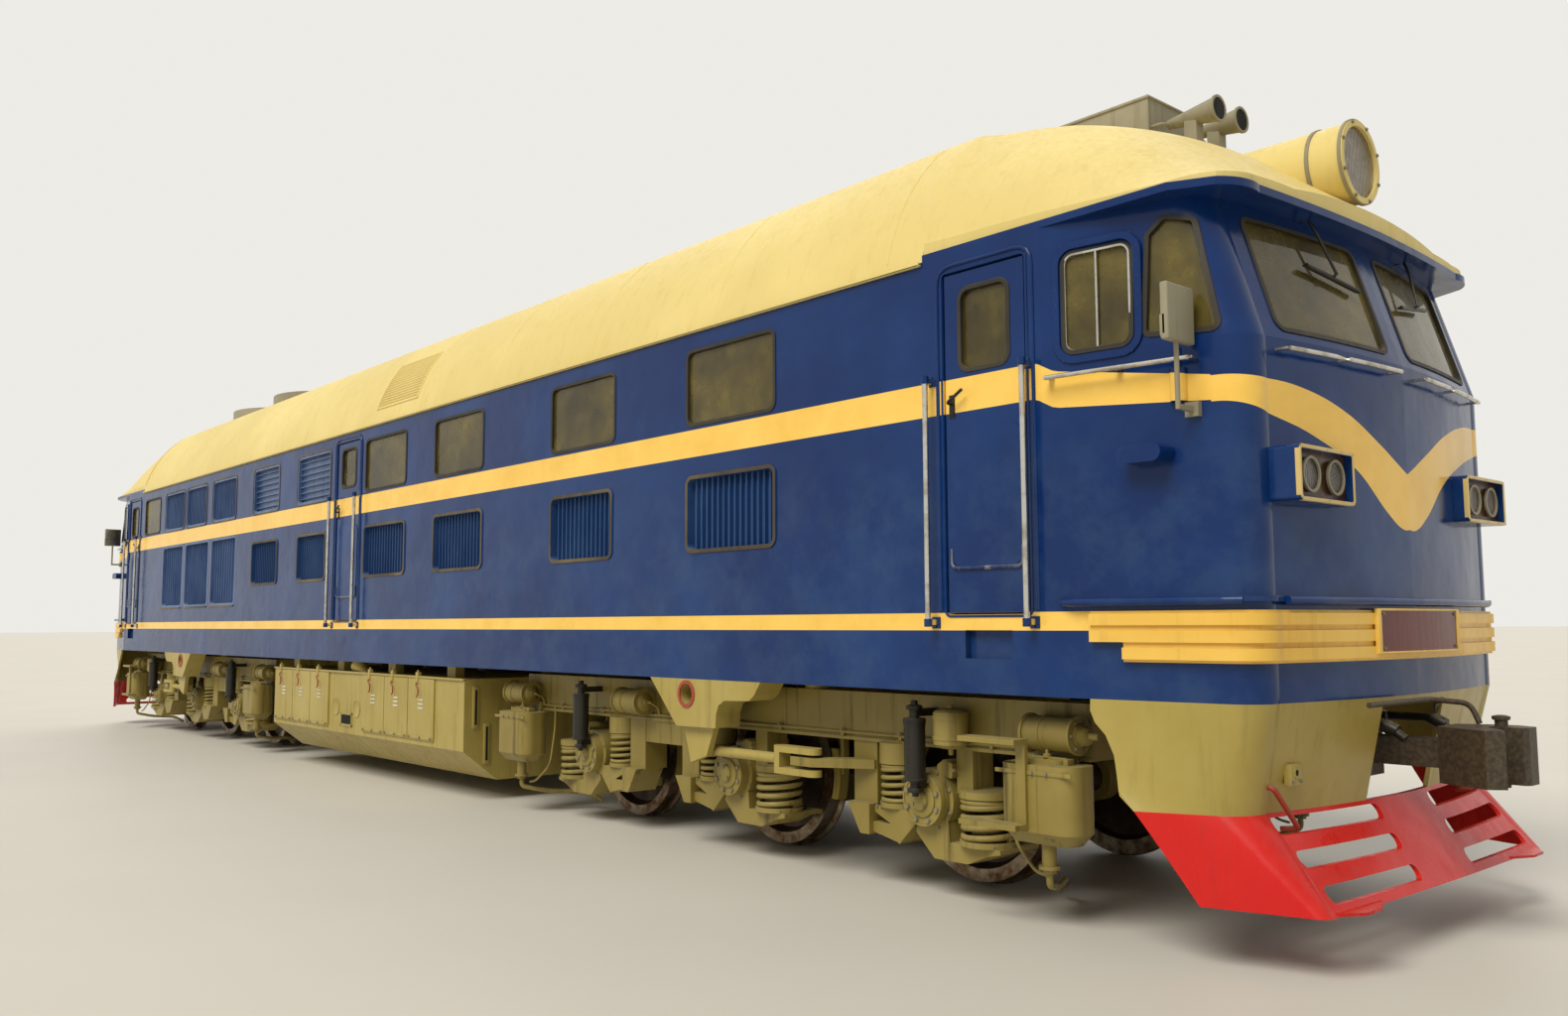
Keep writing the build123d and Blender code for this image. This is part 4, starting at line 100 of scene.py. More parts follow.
def close_material(tree, sockets):
    surface = node(tree, "ShaderNodeBsdfPrincipled", sockets)
    node(tree, "ShaderNodeOutputMaterial", {"Surface": surface.outputs[0]})


def mix_colour(tree, factor, a, b):
    made = node(tree, "ShaderNodeMix", {"Factor": factor}, data_type="RGBA")
    for key, value in (("A", a), ("B", b)):
        socket = [s for s in made.inputs if s.name == key and s.type == "RGBA"][0]
        if isinstance(value, bpy.types.NodeSocket):
            tree.links.new(value, socket)
        else:
            socket.default_value = linear(value)
    return [s for s in made.outputs if s.type == "RGBA"][0]


FLOOR_HALF = 350
FLOOR_HEX, FLOOR_WORN_HEX, BACKDROP_HEX = "#D2CFC7", "#C9C5BB", "#F3F1EC"
floor_mesh = bpy.data.meshes.new("hall_floor")
floor_mesh.from_pydata([(x * FLOOR_HALF, y * FLOOR_HALF, 0) for x, y in ((-1, -1), (1, -1), (1, 1), (-1, 1))],
                       [], [(0, 1, 2, 3)])
hall_floor = bpy.data.objects.new("hall_floor", floor_mesh)
bpy.context.scene.collection.objects.link(hall_floor)
screed, tree, place = blank_material("polished_screed")
tone = mix_colour(tree, noise(tree, place, 0.5, 5.0), FLOOR_HEX, FLOOR_WORN_HEX)
close_material(tree, {"Base Color": tone, "Roughness": 0.55})
floor_mesh.materials.append(screed)

world = bpy.data.worlds.new("hall_backdrop")
bpy.context.scene.world = world
world.use_nodes = True
tree = world.node_tree
tree.nodes.clear()
rays = node(tree, "ShaderNodeLightPath").outputs
seen = maths(tree, "MAXIMUM", rays["Is Camera Ray"], rays["Is Glossy Ray"])
seen = maths(tree, "MAXIMUM", seen, rays["Is Transmission Ray"])
ambient = node(tree, "ShaderNodeBackground", {"Color": linear("#FFFCF6"), "Strength": 0.34})
shown = node(tree, "ShaderNodeBackground", {"Color": linear(BACKDROP_HEX), "Strength": 0.95})
mixed = node(tree, "ShaderNodeMixShader", {0: seen, 1: ambient.outputs[0], 2: shown.outputs[0]})
node(tree, "ShaderNodeOutputWorld", {"Surface": mixed.outputs[0]})
for name, toward, strength, spread in (("roof_light", (-0.12, 0.66, -0.80), 2.7, 34),
                                       ("fill_light", (0.60, -0.55, -0.75), 0.65, 50)):
    lamp = bpy.data.lights.new(name, "SUN")
    lamp.energy, lamp.angle, lamp.color = strength, math.radians(spread), linear("#FFFAF0")[:3]
    lamp_object = bpy.data.objects.new(name, lamp)
    bpy.context.scene.collection.objects.link(lamp_object)
    lamp_object.rotation_euler = Vector(toward).to_track_quat("-Z", "Y").to_euler()


# Underframe, fuel tank and brackets. Plate steel under brushed olive enamel,
# dusty on every ledge, with oily streaks that run down from seams.
def ramp(tree, value, low, high, start=0.0, end=1.0):
    return node(tree, "ShaderNodeMapRange", {"Value": value, "From Min": low, "From Max": high,
                                             "To Min": start, "To Max": end}, clamp=True).outputs["Result"]


def bump(tree, height, strength, distance, under=None):
    sockets = {"Height": height, "Strength": strength, "Distance": distance}
    if under is not None:
        sockets["Normal"] = under
    return node(tree, "ShaderNodeBump", sockets).outputs[0]


def painted_steel(name, coat, faded, dirt, rough=0.34, streaks=0.5, dust=0.6, ripple=0.35, patch_mm=900):
    """Brush enamel on plate: slow fading, dirt that runs down, dust on ledges and a faint sheet ripple."""
    made, tree, place = blank_material(name)
    patches = noise(tree, place, 1000 / patch_mm, 4.0, 0.6)
    colour = mix_colour(tree, ramp(tree, patches, 0.42, 0.68), coat, faded)
    long_way = node(tree, "ShaderNodeMapping", {"Vector": place, "Scale": (14.0, 14.0, 0.9)})
    runs = noise(tree, long_way.outputs[0], 1.0, 6.0, 0.62)
    colour = mix_colour(tree, ramp(tree, runs, 0.55, 0.78, 0.0, streaks), colour, dirt)
    facing = node(tree, "ShaderNodeSeparateXYZ", {0: node(tree, "ShaderNodeNewGeometry").outputs["Normal"]})
    fine = noise(tree, place, 30.0, 5.0)
    ledge = ramp(tree, facing.outputs["Z"], 0.35, 0.95, 0.0, dust)
    ledge = maths(tree, "MULTIPLY", ledge, ramp(tree, fine, 0.3, 0.62))
    colour = mix_colour(tree, ledge, colour, "#8E8568")
    rubbed = ramp(tree, runs, 0.35, 0.75, rough - 0.06, rough + 0.16)
    wave = bump(tree, noise(tree, place, 2.2, 2.0), ripple, 0.02)
    dulled = maths(tree, "ADD", rubbed, ledge, use_clamp=True)
    close_material(tree, {"Base Color": colour, "Roughness": dulled, "IOR": 1.5, "Specular IOR Level": 0.36,
                          "Normal": bump(tree, fine, 0.08, 0.002, wave)})
    return made


def dress(material, *names):
    for name in names:
        mesh = cad[name].data
        mesh.materials.clear()
        mesh.materials.append(material)


olive = painted_steel("brushed_olive_enamel", "#A39148", "#AE9D57", "#4F4122", rough=0.40)
dress(olive, "underframe", "pivots", "fuel_tank", "lifting_brackets", "traction_rods")


# Fuel tank furniture. A flange and hinge lugs along the top, red hooks and
# white vent bars on the battery lids, screwed covers, fillers and sight gauges.
def mirror(end, hand, x=0.0, y=0.0, z=0.0):
    """Places measured from x, y, z in the front left quarter, turned to the given end and side."""
    return lambda along, across, up: (end * (x + along), hand * (y + across), z + up)


def stand(name, form, material, body, sharp=38):
    """Turns a bmesh into a piece that rides on a body, smooth but for edges over the sharp angle."""
    bmesh.ops.recalc_face_normals(form, faces=form.faces)
    mesh = bpy.data.meshes.new(name)
    form.to_mesh(mesh)
    form.free()
    mesh.materials.append(material)
    mesh.polygons.foreach_set("use_smooth", [True] * len(mesh.polygons))
    mesh.set_sharp_from_angle(angle=math.radians(sharp))
    made = bpy.data.objects.new(name, mesh)
    bpy.context.scene.collection.objects.link(made)
    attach(made, body)
    return made


def plate(form, low, high, edge=0.004, steps=2):
    """A plate or block with rounded edges between two corners."""
    low, high = Vector(map(min, low, high)), Vector(map(max, low, high))
    size = high - low
    place = Matrix.Translation((low + high) / 2) @ Matrix.Diagonal((*size, 1))
    corners = bmesh.ops.create_cube(form, size=1, matrix=place)["verts"]
    if edge:
        edges = list({e for v in corners for e in v.link_edges})
        bmesh.ops.bevel(form, geom=edges, offset=min(edge, 0.45 * min(size)), segments=steps, profile=0.6,
                        affect="EDGES", clamp_overlap=True)


def ring(form, centre, radius, out, over, sides):
    """Points on a circle in the plane of two directions."""
    turns = [2 * math.pi * k / sides for k in range(sides)]
    return [form.verts.new(centre + radius * (math.cos(t) * out + math.sin(t) * over)) for t in turns]


def bridge(form, rows, capped=False):
    """Faces from each ring of points to the next, with the first and last ring closed if capped."""
    for near, far in zip(rows, rows[1:]):
        for k in range(len(near)):
            after = (k + 1) % len(near)
            form.faces.new((near[k], near[after], far[after], far[k]))
    if capped:
        form.faces.new(rows[0])
        form.faces.new(rows[-1])


def rings_along(form, start, along, profile, sides):
    """Rings square to an axis: profile rows are (distance along it, radius)."""
    start, along = Vector(start), Vector(along).normalized()
    out = along.orthogonal().normalized()
    over = along.cross(out)
    return [ring(form, start + along * reach, radius, out, over, sides) for reach, radius in profile]


def turned(form, start, along, profile, sides=24):
    """A solid turned part: profile rows are (distance along the axis, radius)."""
    bridge(form, rings_along(form, start, along, profile, sides), capped=True)


def collar(form, centre, along, inner, outer, depth, sides=32):
    """A flat ring with square edges round an axis."""
    profile = ((0, inner), (0, outer), (depth, outer), (depth, inner))
    rows = rings_along(form, centre, along, profile, sides)
    bridge(form, rows + rows[:1])


def pipe(form, path, radius, bend=0.05, sides=10):
    """A steel pipe or bar along points, with its corners bent to a radius."""
    path = [Vector(p) for p in path]
    line = [path[0]]
    for before, corner, after in zip(path, path[1:], path[2:]):
        back, on = before - corner, after - corner
        reach = min(bend, 0.45 * back.length, 0.45 * on.length)
        first, last = corner + back.normalized() * reach, corner + on.normalized() * reach
        line += [first.lerp(corner, t).lerp(corner.lerp(last, t), t) for t in (0, 0.25, 0.5, 0.75, 1)]
    line.append(path[-1])
    side = (line[1] - line[0]).orthogonal().normalized()
    rows = []
    for k, spot in enumerate(line):
        ahead = (line[min(k + 1, len(line) - 1)] - line[max(k - 1, 0)]).normalized()
        side = (side - ahead * side.dot(ahead)).normalized()
        rows.append(ring(form, spot, radius, side, ahead.cross(side), sides))
    bridge(form, rows, capped=True)


def maker_tree(name, *measures):
    """An empty tree that works on points, with its measures and its finish as inputs."""
    made = bpy.data.node_groups.new(name, "GeometryNodeTree")
    for label, kind in (("Geometry", "Geometry"), *((label, "Float") for label in measures),
                        ("Finish", "Material")):
        made.interface.new_socket(label, in_out="INPUT", socket_type="NodeSocket" + kind)
    made.interface.new_socket("Geometry", in_out="OUTPUT", socket_type="NodeSocketGeometry")
    return made, node(made, "NodeGroupInput").outputs


def outward(tree, **settings):
    """Each point's own direction, as a turn."""
    facing = node(tree, "GeometryNodeInputNamedAttribute", {"Name": "out"}, data_type="FLOAT_VECTOR")
    return node(tree, "FunctionNodeAlignRotationToVector", {"Vector": facing.outputs["Attribute"]}, axis="Z",
                **settings).outputs[0]


def set_on_points(tree, given, shape, turn=None, smooth=False):
    """Ends a maker tree with the shape standing on every point, in its finish."""
    sockets = {"Points": given["Geometry"], "Instance": shape}
    if turn is not None:
        sockets["Rotation"] = turn
    placed = node(tree, "GeometryNodeInstanceOnPoints", sockets)
    real = node(tree, "GeometryNodeRealizeInstances", {"Geometry": placed.outputs[0]})
    if smooth:
        real = node(tree, "GeometryNodeSetShadeSmooth", {"Geometry": real.outputs[0], "Shade Smooth": True})
    finished = node(tree, "GeometryNodeSetMaterial", {"Geometry": real.outputs[0],
                                                      "Material": given["Finish"]})
    node(tree, "NodeGroupOutput", {"Geometry": finished.outputs[0]})


def hex_head_tree():
    """Hexagon heads on washers, one on each point, each spun by chance round its own direction."""
    made, given = maker_tree("hex_heads", "Head Radius", "Head Height")
    radius, height = given["Head Radius"], given["Head Height"]
    washer = node(made, "GeometryNodeMeshCylinder", {
        "Vertices": 12, "Radius": maths(made, "MULTIPLY", radius, 1.35),
        "Depth": maths(made, "MULTIPLY", height, 0.3)})
    head = node(made, "GeometryNodeMeshCylinder", {"Vertices": 6, "Radius": radius, "Depth": height})
    lift = node(made, "ShaderNodeCombineXYZ", {"Z": maths(made, "MULTIPLY", height, 0.7)})
    raised = node(made, "GeometryNodeTransform", {"Geometry": head.outputs["Mesh"],
                                                  "Translation": lift.outputs[0]})
    both = node(made, "GeometryNodeJoinGeometry")
    for part in (washer.outputs["Mesh"], raised.outputs["Geometry"]):
        made.links.new(part, both.inputs[0])
    spin = node(made, "FunctionNodeRandomValue", {"Seed": 7}, data_type="FLOAT")
    [s for s in spin.inputs if s.name == "Max" and s.type == "VALUE"][0].default_value = math.pi / 3
    angle = node(made, "ShaderNodeCombineXYZ", {"Z": [s for s in spin.outputs if s.type == "VALUE"][0]})
    own = node(made, "FunctionNodeEulerToRotation", {"Euler": angle.outputs[0]})
    turn = node(made, "FunctionNodeRotateRotation", {"Rotation": outward(made), "Rotate By": own.outputs[0]},
                rotation_space="LOCAL")
    set_on_points(made, given, both.outputs[0], turn.outputs[0])
    return made


def grown(name, tree, spots, body, slot, **inputs):
    """Runs a tree on points that carry their own outward direction, and keeps the mesh that it gives."""
    mesh = bpy.data.meshes.new(name)
    mesh.from_pydata([tuple(spot) for spot, facing in spots], [], [])
    facings = mesh.attributes.new("out", "FLOAT_VECTOR", "POINT")
    for item, (spot, facing) in zip(facings.data, spots):
        item.vector = facing
    made = bpy.data.objects.new(name, mesh)
    bpy.context.scene.collection.objects.link(made)
    maker = made.modifiers.new("maker", "NODES")
    maker.node_group = tree
    for socket in tree.interface.items_tree:
        label = socket.name.lower().replace(" ", "_")
        if socket.in_out == "INPUT" and label in inputs:
            maker[socket.identifier] = inputs[label]
    grid = bpy.context.evaluated_depsgraph_get()
    done = bpy.data.meshes.new_from_object(made.evaluated_get(grid), depsgraph=grid)
    made.modifiers.clear()
    made.data = done
    done.name = name
    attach(made, body)
    return made


hex_heads = hex_head_tree()
oily_bolt = painted_steel("oiled_bolt_steel", "#7A7258", "#8C8466", "#2E2819", rough=0.42)
signal_red = painted_steel("faded_red_enamel", "#9A3524", "#A04A34", "#4A1A10", rough=0.45)
# Black sheet set into recesses, horn throats and holes: painted shade for their dark insides.
painted_shade_black = painted_steel("sooty_black_inside", "#0C0B09", "#14120E", "#080705", rough=0.8, dust=0.1)


def bolted(name, spots, body, slot, radius, height, finish=oily_bolt):
    grown(name, hex_heads, spots, body, slot, head_radius=radius, head_height=height, finish=finish)


LID_FACE_Y, LID_FOOT_Z, TANK_TOP_Z, TANK_ENDS = 1.504, 0.498, 1.088, (-2.290, 2.470)
LIDS_X = ((-2.226, -1.689), (-1.689, -1.159), (-1.159, -0.625),
          (0.270, 0.798), (0.798, 1.341), (1.341, 1.900))
HOOKS_X = (-2.068, -1.526, -0.943, 0.438, 0.983, 1.543)
HOOK_PATH = ((0, 0.008, 1.030), (0.016, 0.026, 1.010), (0.070, 0.026, 0.975), (0.070, 0.026, 0.915),
             (0.040, 0.026, 0.900))
COVERS_X, COVER_Z = (-0.440, 0.104), 0.713
FILLER = ((0, 0.040), (0.070, 0.044), (0.160, 0.078), (0.172, 0.080), (0.176, 0.074), (0.168, 0.060))
SIGHT_RIMS = ((-0.310, 0.520, 0.000, 0.545), (-0.310, 0.640, 0.000, 0.665), (-0.310, 0.520, -0.285, 0.665),
              (-0.025, 0.520, 0.000, 0.665))
GAUGES = ((1.380, 0.650, 1.020), (1.268, 0.330, 0.690))
chalk_white = painted_steel("chalk_white_enamel", "#D6D0BC", "#C4BDA4", "#8A8164", rough=0.5)
hooks, fittings, sockets, vents = (bmesh.new() for _ in range(4))
lid_bolts = []
for hand in HANDS:
    on_lid, on_end, out = mirror(1, hand, y=LID_FACE_Y), mirror(1, hand, TANK_ENDS[1]), (0, hand, 0)
    plate(fittings, on_lid(TANK_ENDS[0], -0.034, TANK_TOP_Z - 0.014),
          on_lid(TANK_ENDS[1], 0.004, TANK_TOP_Z + 0.004), 0.003)
    for x in HOOKS_X:
        plate(fittings, on_lid(x - 0.024, -0.030, TANK_TOP_Z - 0.070),
              on_lid(x + 0.024, 0.010, TANK_TOP_Z + 0.040))
        turned(fittings, on_lid(x, -0.008, TANK_TOP_Z + 0.036), UP,
               ((0, 0.012), (0.020, 0.012), (0.024, 0.008)), sides=12)
        pipe(hooks, [on_lid(x + along, proud, z) for along, proud, z in HOOK_PATH], 0.0065, bend=0.02)
    for low, high in LIDS_X:
        middle = (low + high) / 2
        plate(fittings, on_lid(low + 0.02, -0.002, LID_FOOT_Z + 0.010),
              on_lid(high - 0.02, 0.006, LID_FOOT_Z + 0.034))
        for z in (0.794, 0.832, 0.870):
            plate(vents, on_lid(middle - 0.052, -0.002, z - 0.009),
                  on_lid(middle + 0.052, 0.006, z + 0.009), 0.003)
        for x in (low + 0.05, middle, high - 0.05):
            lid_bolts.append((on_lid(x, 0.006, LID_FOOT_Z + 0.022), out))
    for x in COVERS_X:
        turned(fittings, on_lid(x, -0.017, COVER_Z), out,
               ((0, 0.090), (0.009, 0.090), (0.010, 0.086), (0.006, 0.080), (0.006, 0.0001)), sides=40)
    for left, foot, right, head in SIGHT_RIMS:
        plate(fittings, on_lid(left, -0.018, foot), on_lid(right, -0.006, head))
    # A black plate at the back of each sight recess is painted shade.
    plate(sockets, on_lid(-0.285, -0.018, 0.545), on_lid(-0.025, -0.012, 0.640), 0)
    turned(fittings, on_lid(0.140, -0.104, TANK_TOP_Z - 0.010), (-0.12, hand * 0.05, 0.09), FILLER, sides=28)
    for y, foot, head in GAUGES:
        plate(fittings, on_end(-0.003, y - 0.028, foot), on_end(0.014, y + 0.028, head))
        # A black strip on each gauge face is painted shade in the gauge's slot.
        plate(sockets, on_end(0.012, y - 0.011, foot + 0.030), on_end(0.0155, y + 0.011, head - 0.030), 0.001)
stand("tank_lid_vents", vents, chalk_white, "body")
stand("tank_lid_hooks", hooks, signal_red, "body")
stand("tank_fittings", fittings, olive, "body")
stand("tank_sight_recess", sockets, painted_shade_black, "body")
bolted("tank_lid_bolts", lid_bolts, "body", "underframe_paint", 0.011, 0.009)

# Jacking holes. A flat steel ring is welded round each of the four holes in the
# sills and painted red.
JACK_HOLE = (5.850, 1.548, 1.095)
jack_rings = bmesh.new()
for end, hand in CORNERS:
    collar(jack_rings, mirror(end, hand)(*JACK_HOLE), (0, hand, 0), 0.070, 0.094, 0.010)
stand("jacking_hole_rings", jack_rings, signal_red, "body")

# Bogies. Welded box frames in the same olive enamel, streaked where oil and brake
# dust settle and painted darker all over as shade under the body; axleboxes,
# brakes and sandboxes are bolted to them.
# A darker olive than the underframe's, with oil streaks and painted shade under the body.
bogie_olive = painted_steel("oily_olive_enamel", "#867639", "#978748", "#2C2211", rough=0.42, streaks=0.85,
                            dust=0.6)
for number in (1, 2):
    for part in ("frame", "axleboxes", "brakes", "sandboxes", "motors", "springs"):
        dress(bogie_olive, f"bogie_{number}_{part}")

# Dampers. Hydraulic cylinders in black enamel, hung upright on the outside of
# each bogie.
damper_black = painted_steel("black_damper_enamel", "#16140F", "#25221A", "#4A4030", rough=0.38, streaks=0.3)
dress(damper_black, "bogie_1_dampers", "bogie_2_dampers")


# Bogie details. Coils of round spring wire, turned axle caps, brake cylinders
# with rubber boots, air pipes in clips, sand pipes and rows of oily bolts.
def coil_tree():
    """Round-wire coil springs with closed, flattened ends, one standing on each point."""
    made, given = maker_tree("coil_springs", "Coil Radius", "Wire Radius", "Free Height", "Turns")
    line = node(made, "GeometryNodeCurvePrimitiveLine")
    steps = node(made, "GeometryNodeResampleCurve", {"Curve": line.outputs[0], "Count": 150})
    share = node(made, "GeometryNodeSplineParameter").outputs["Factor"]
    angle = maths(made, "MULTIPLY", maths(made, "MULTIPLY", share, given["Turns"]), 2 * math.pi)
    x = maths(made, "MULTIPLY", maths(made, "COSINE", angle), given["Coil Radius"])
    y = maths(made, "MULTIPLY", maths(made, "SINE", angle), given["Coil Radius"])
    top_z = maths(made, "SUBTRACT", given["Free Height"], given["Wire Radius"])
    z = ramp(made, share, 0.14, 0.86, given["Wire Radius"], top_z)
    spiral = node(made, "ShaderNodeCombineXYZ", {"X": x, "Y": y, "Z": z})
    path = node(made, "GeometryNodeSetPosition", {"Geometry": steps.outputs[0],
                                                  "Position": spiral.outputs[0]})
    section = node(made, "GeometryNodeCurvePrimitiveCircle", {"Resolution": 9,
                                                              "Radius": given["Wire Radius"]})
    wire = node(made, "GeometryNodeCurveToMesh", {
        "Curve": path.outputs[0], "Profile Curve": section.outputs["Curve"], "Fill Caps": True})
    set_on_points(made, given, wire.outputs[0], smooth=True)
    return made


def bolt_circle(centre, facing, radius, count, start=0.0):
    """Bolts on a circle round an axis, all facing along it; start is the first one's angle."""
    first, second = [axis for axis in range(3) if not facing[axis]]
    spots = []
    for k in range(count):
        turn = start + 2 * math.pi * k / count
        spot = list(centre)
        spot[first] += radius * math.cos(turn)
        spot[second] += radius * math.sin(turn)
        spots.append((tuple(spot), facing))
    return spots


coils = coil_tree()
BOGIE_X, AXLE_Z, SPRING_Y = 6.0, 0.553, 1.140
# columns: axle offset from the bogie centre, side of the low spring
AXLES = ((1.8, 1), (0.0, 1), (-1.8, -1))
# columns: name, offset toward the low side, seat height, free height, coil radius, wire radius, turns
SPRINGS = (("low", 0.350, 0.353, 0.235, 0.140, 0.018, 5.0), ("inner", 0.350, 0.353, 0.235, 0.085, 0.011, 7.0),
           ("high", -0.318, 0.498, 0.230, 0.113, 0.014, 6.0))
CAP_FACE_Y, BOX_FACE_Y = 1.305, 1.240
AXLE_CAP = ((0, 0.098), (0.012, 0.098), (0.016, 0.090), (0.018, 0.060), (0.034, 0.056), (0.040, 0.046),
            (0.041, 0.0001))
BOX_BOLTS = ((0.42, -0.215), (0.47, -0.215), (-0.39, -0.085), (-0.43, -0.085), (0.19, 0.18))
CYLINDERS_X, CYLINDER_Y, CYLINDER_Z, CYLINDER_R = (2.740, -1.160, -2.830), 1.300, 0.990, 0.0905
CYLINDER_BANDS = ((-0.160, 0.104, 0.016), (0.144, 0.104, 0.016), (-0.052, 0.097, 0.012))
BOOT = ((0, 0.060), (0.010, 0.060), (0.016, 0.046), (0.024, 0.054), (0.032, 0.044), (0.040, 0.052),
        (0.048, 0.042), (0.056, 0.048), (0.064, 0.038), (0.066, 0.020), (0.120, 0.018))
CYLINDER_BACK = ((0, 0.070), (0.010, 0.062), (0.020, 0.030), (0.034, 0.026), (0.036, 0.0001))
PIPE_Y, PIPE_Z, PIPE_REACH = 1.213, 0.893, 2.86
CLIPS_X = (-2.3, -1.7, -0.75, -0.15, 0.45, 1.05, 1.55, 2.25)
TANK_X, TANK_Y, TANK_R = 2.030, 1.310, 0.0995
TANK_CAP = ((0, 0.098), (0.012, 0.090), (0.022, 0.060), (0.026, 0.020), (0.044, 0.018), (0.046, 0.0001))
TANK_FOOT = ((0, 0.098), (0.014, 0.088), (0.026, 0.050), (0.030, 0.016), (0.062, 0.014), (0.064, 0.0001))
DAMPERS_X, DAMPER_Y, DAMPER_R = (1.815, -1.770), 1.379, 0.0615
DAMPER_COLLARS = ((0.672, 0.068), (1.008, 0.068), (0.990, 0.0655), (0.850, 0.0635))
DAMPER_CAP = ((0, 0.046), (0.006, 0.048), (0.020, 0.048), (0.026, 0.040), (0.027, 0.022), (0.052, 0.020),
              (0.054, 0.0001))
DAMPER_FOOT = ((0, 0.044), (0.006, 0.046), (0.020, 0.046), (0.026, 0.038), (0.027, 0.020), (0.048, 0.018),
               (0.050, 0.0001))
SANDBOX_X, SANDBOX_Y, SANDBOX_FACE_Y, SAND_FLANGE_Z = 2.730, 1.3525, 1.486, 0.300
SAND_KNOB = ((0, 0.022), (0.016, 0.022), (0.020, 0.010), (0.040, 0.009), (0.042, 0.0001))
SAND_PIPE = ((2.730, 1.3525, 0.285), (2.730, 1.3525, 0.215), (2.630, 1.15, 0.165), (2.470, 0.860, 0.150),
             (2.370, 0.775, 0.075))
SAND_AIR_PIPE = ((2.680, 1.30, 0.250), (2.600, 1.30, 0.262), (2.430, 1.26, 0.40), (2.430, 1.215, 0.70),
                 (2.430, 1.213, 0.89))
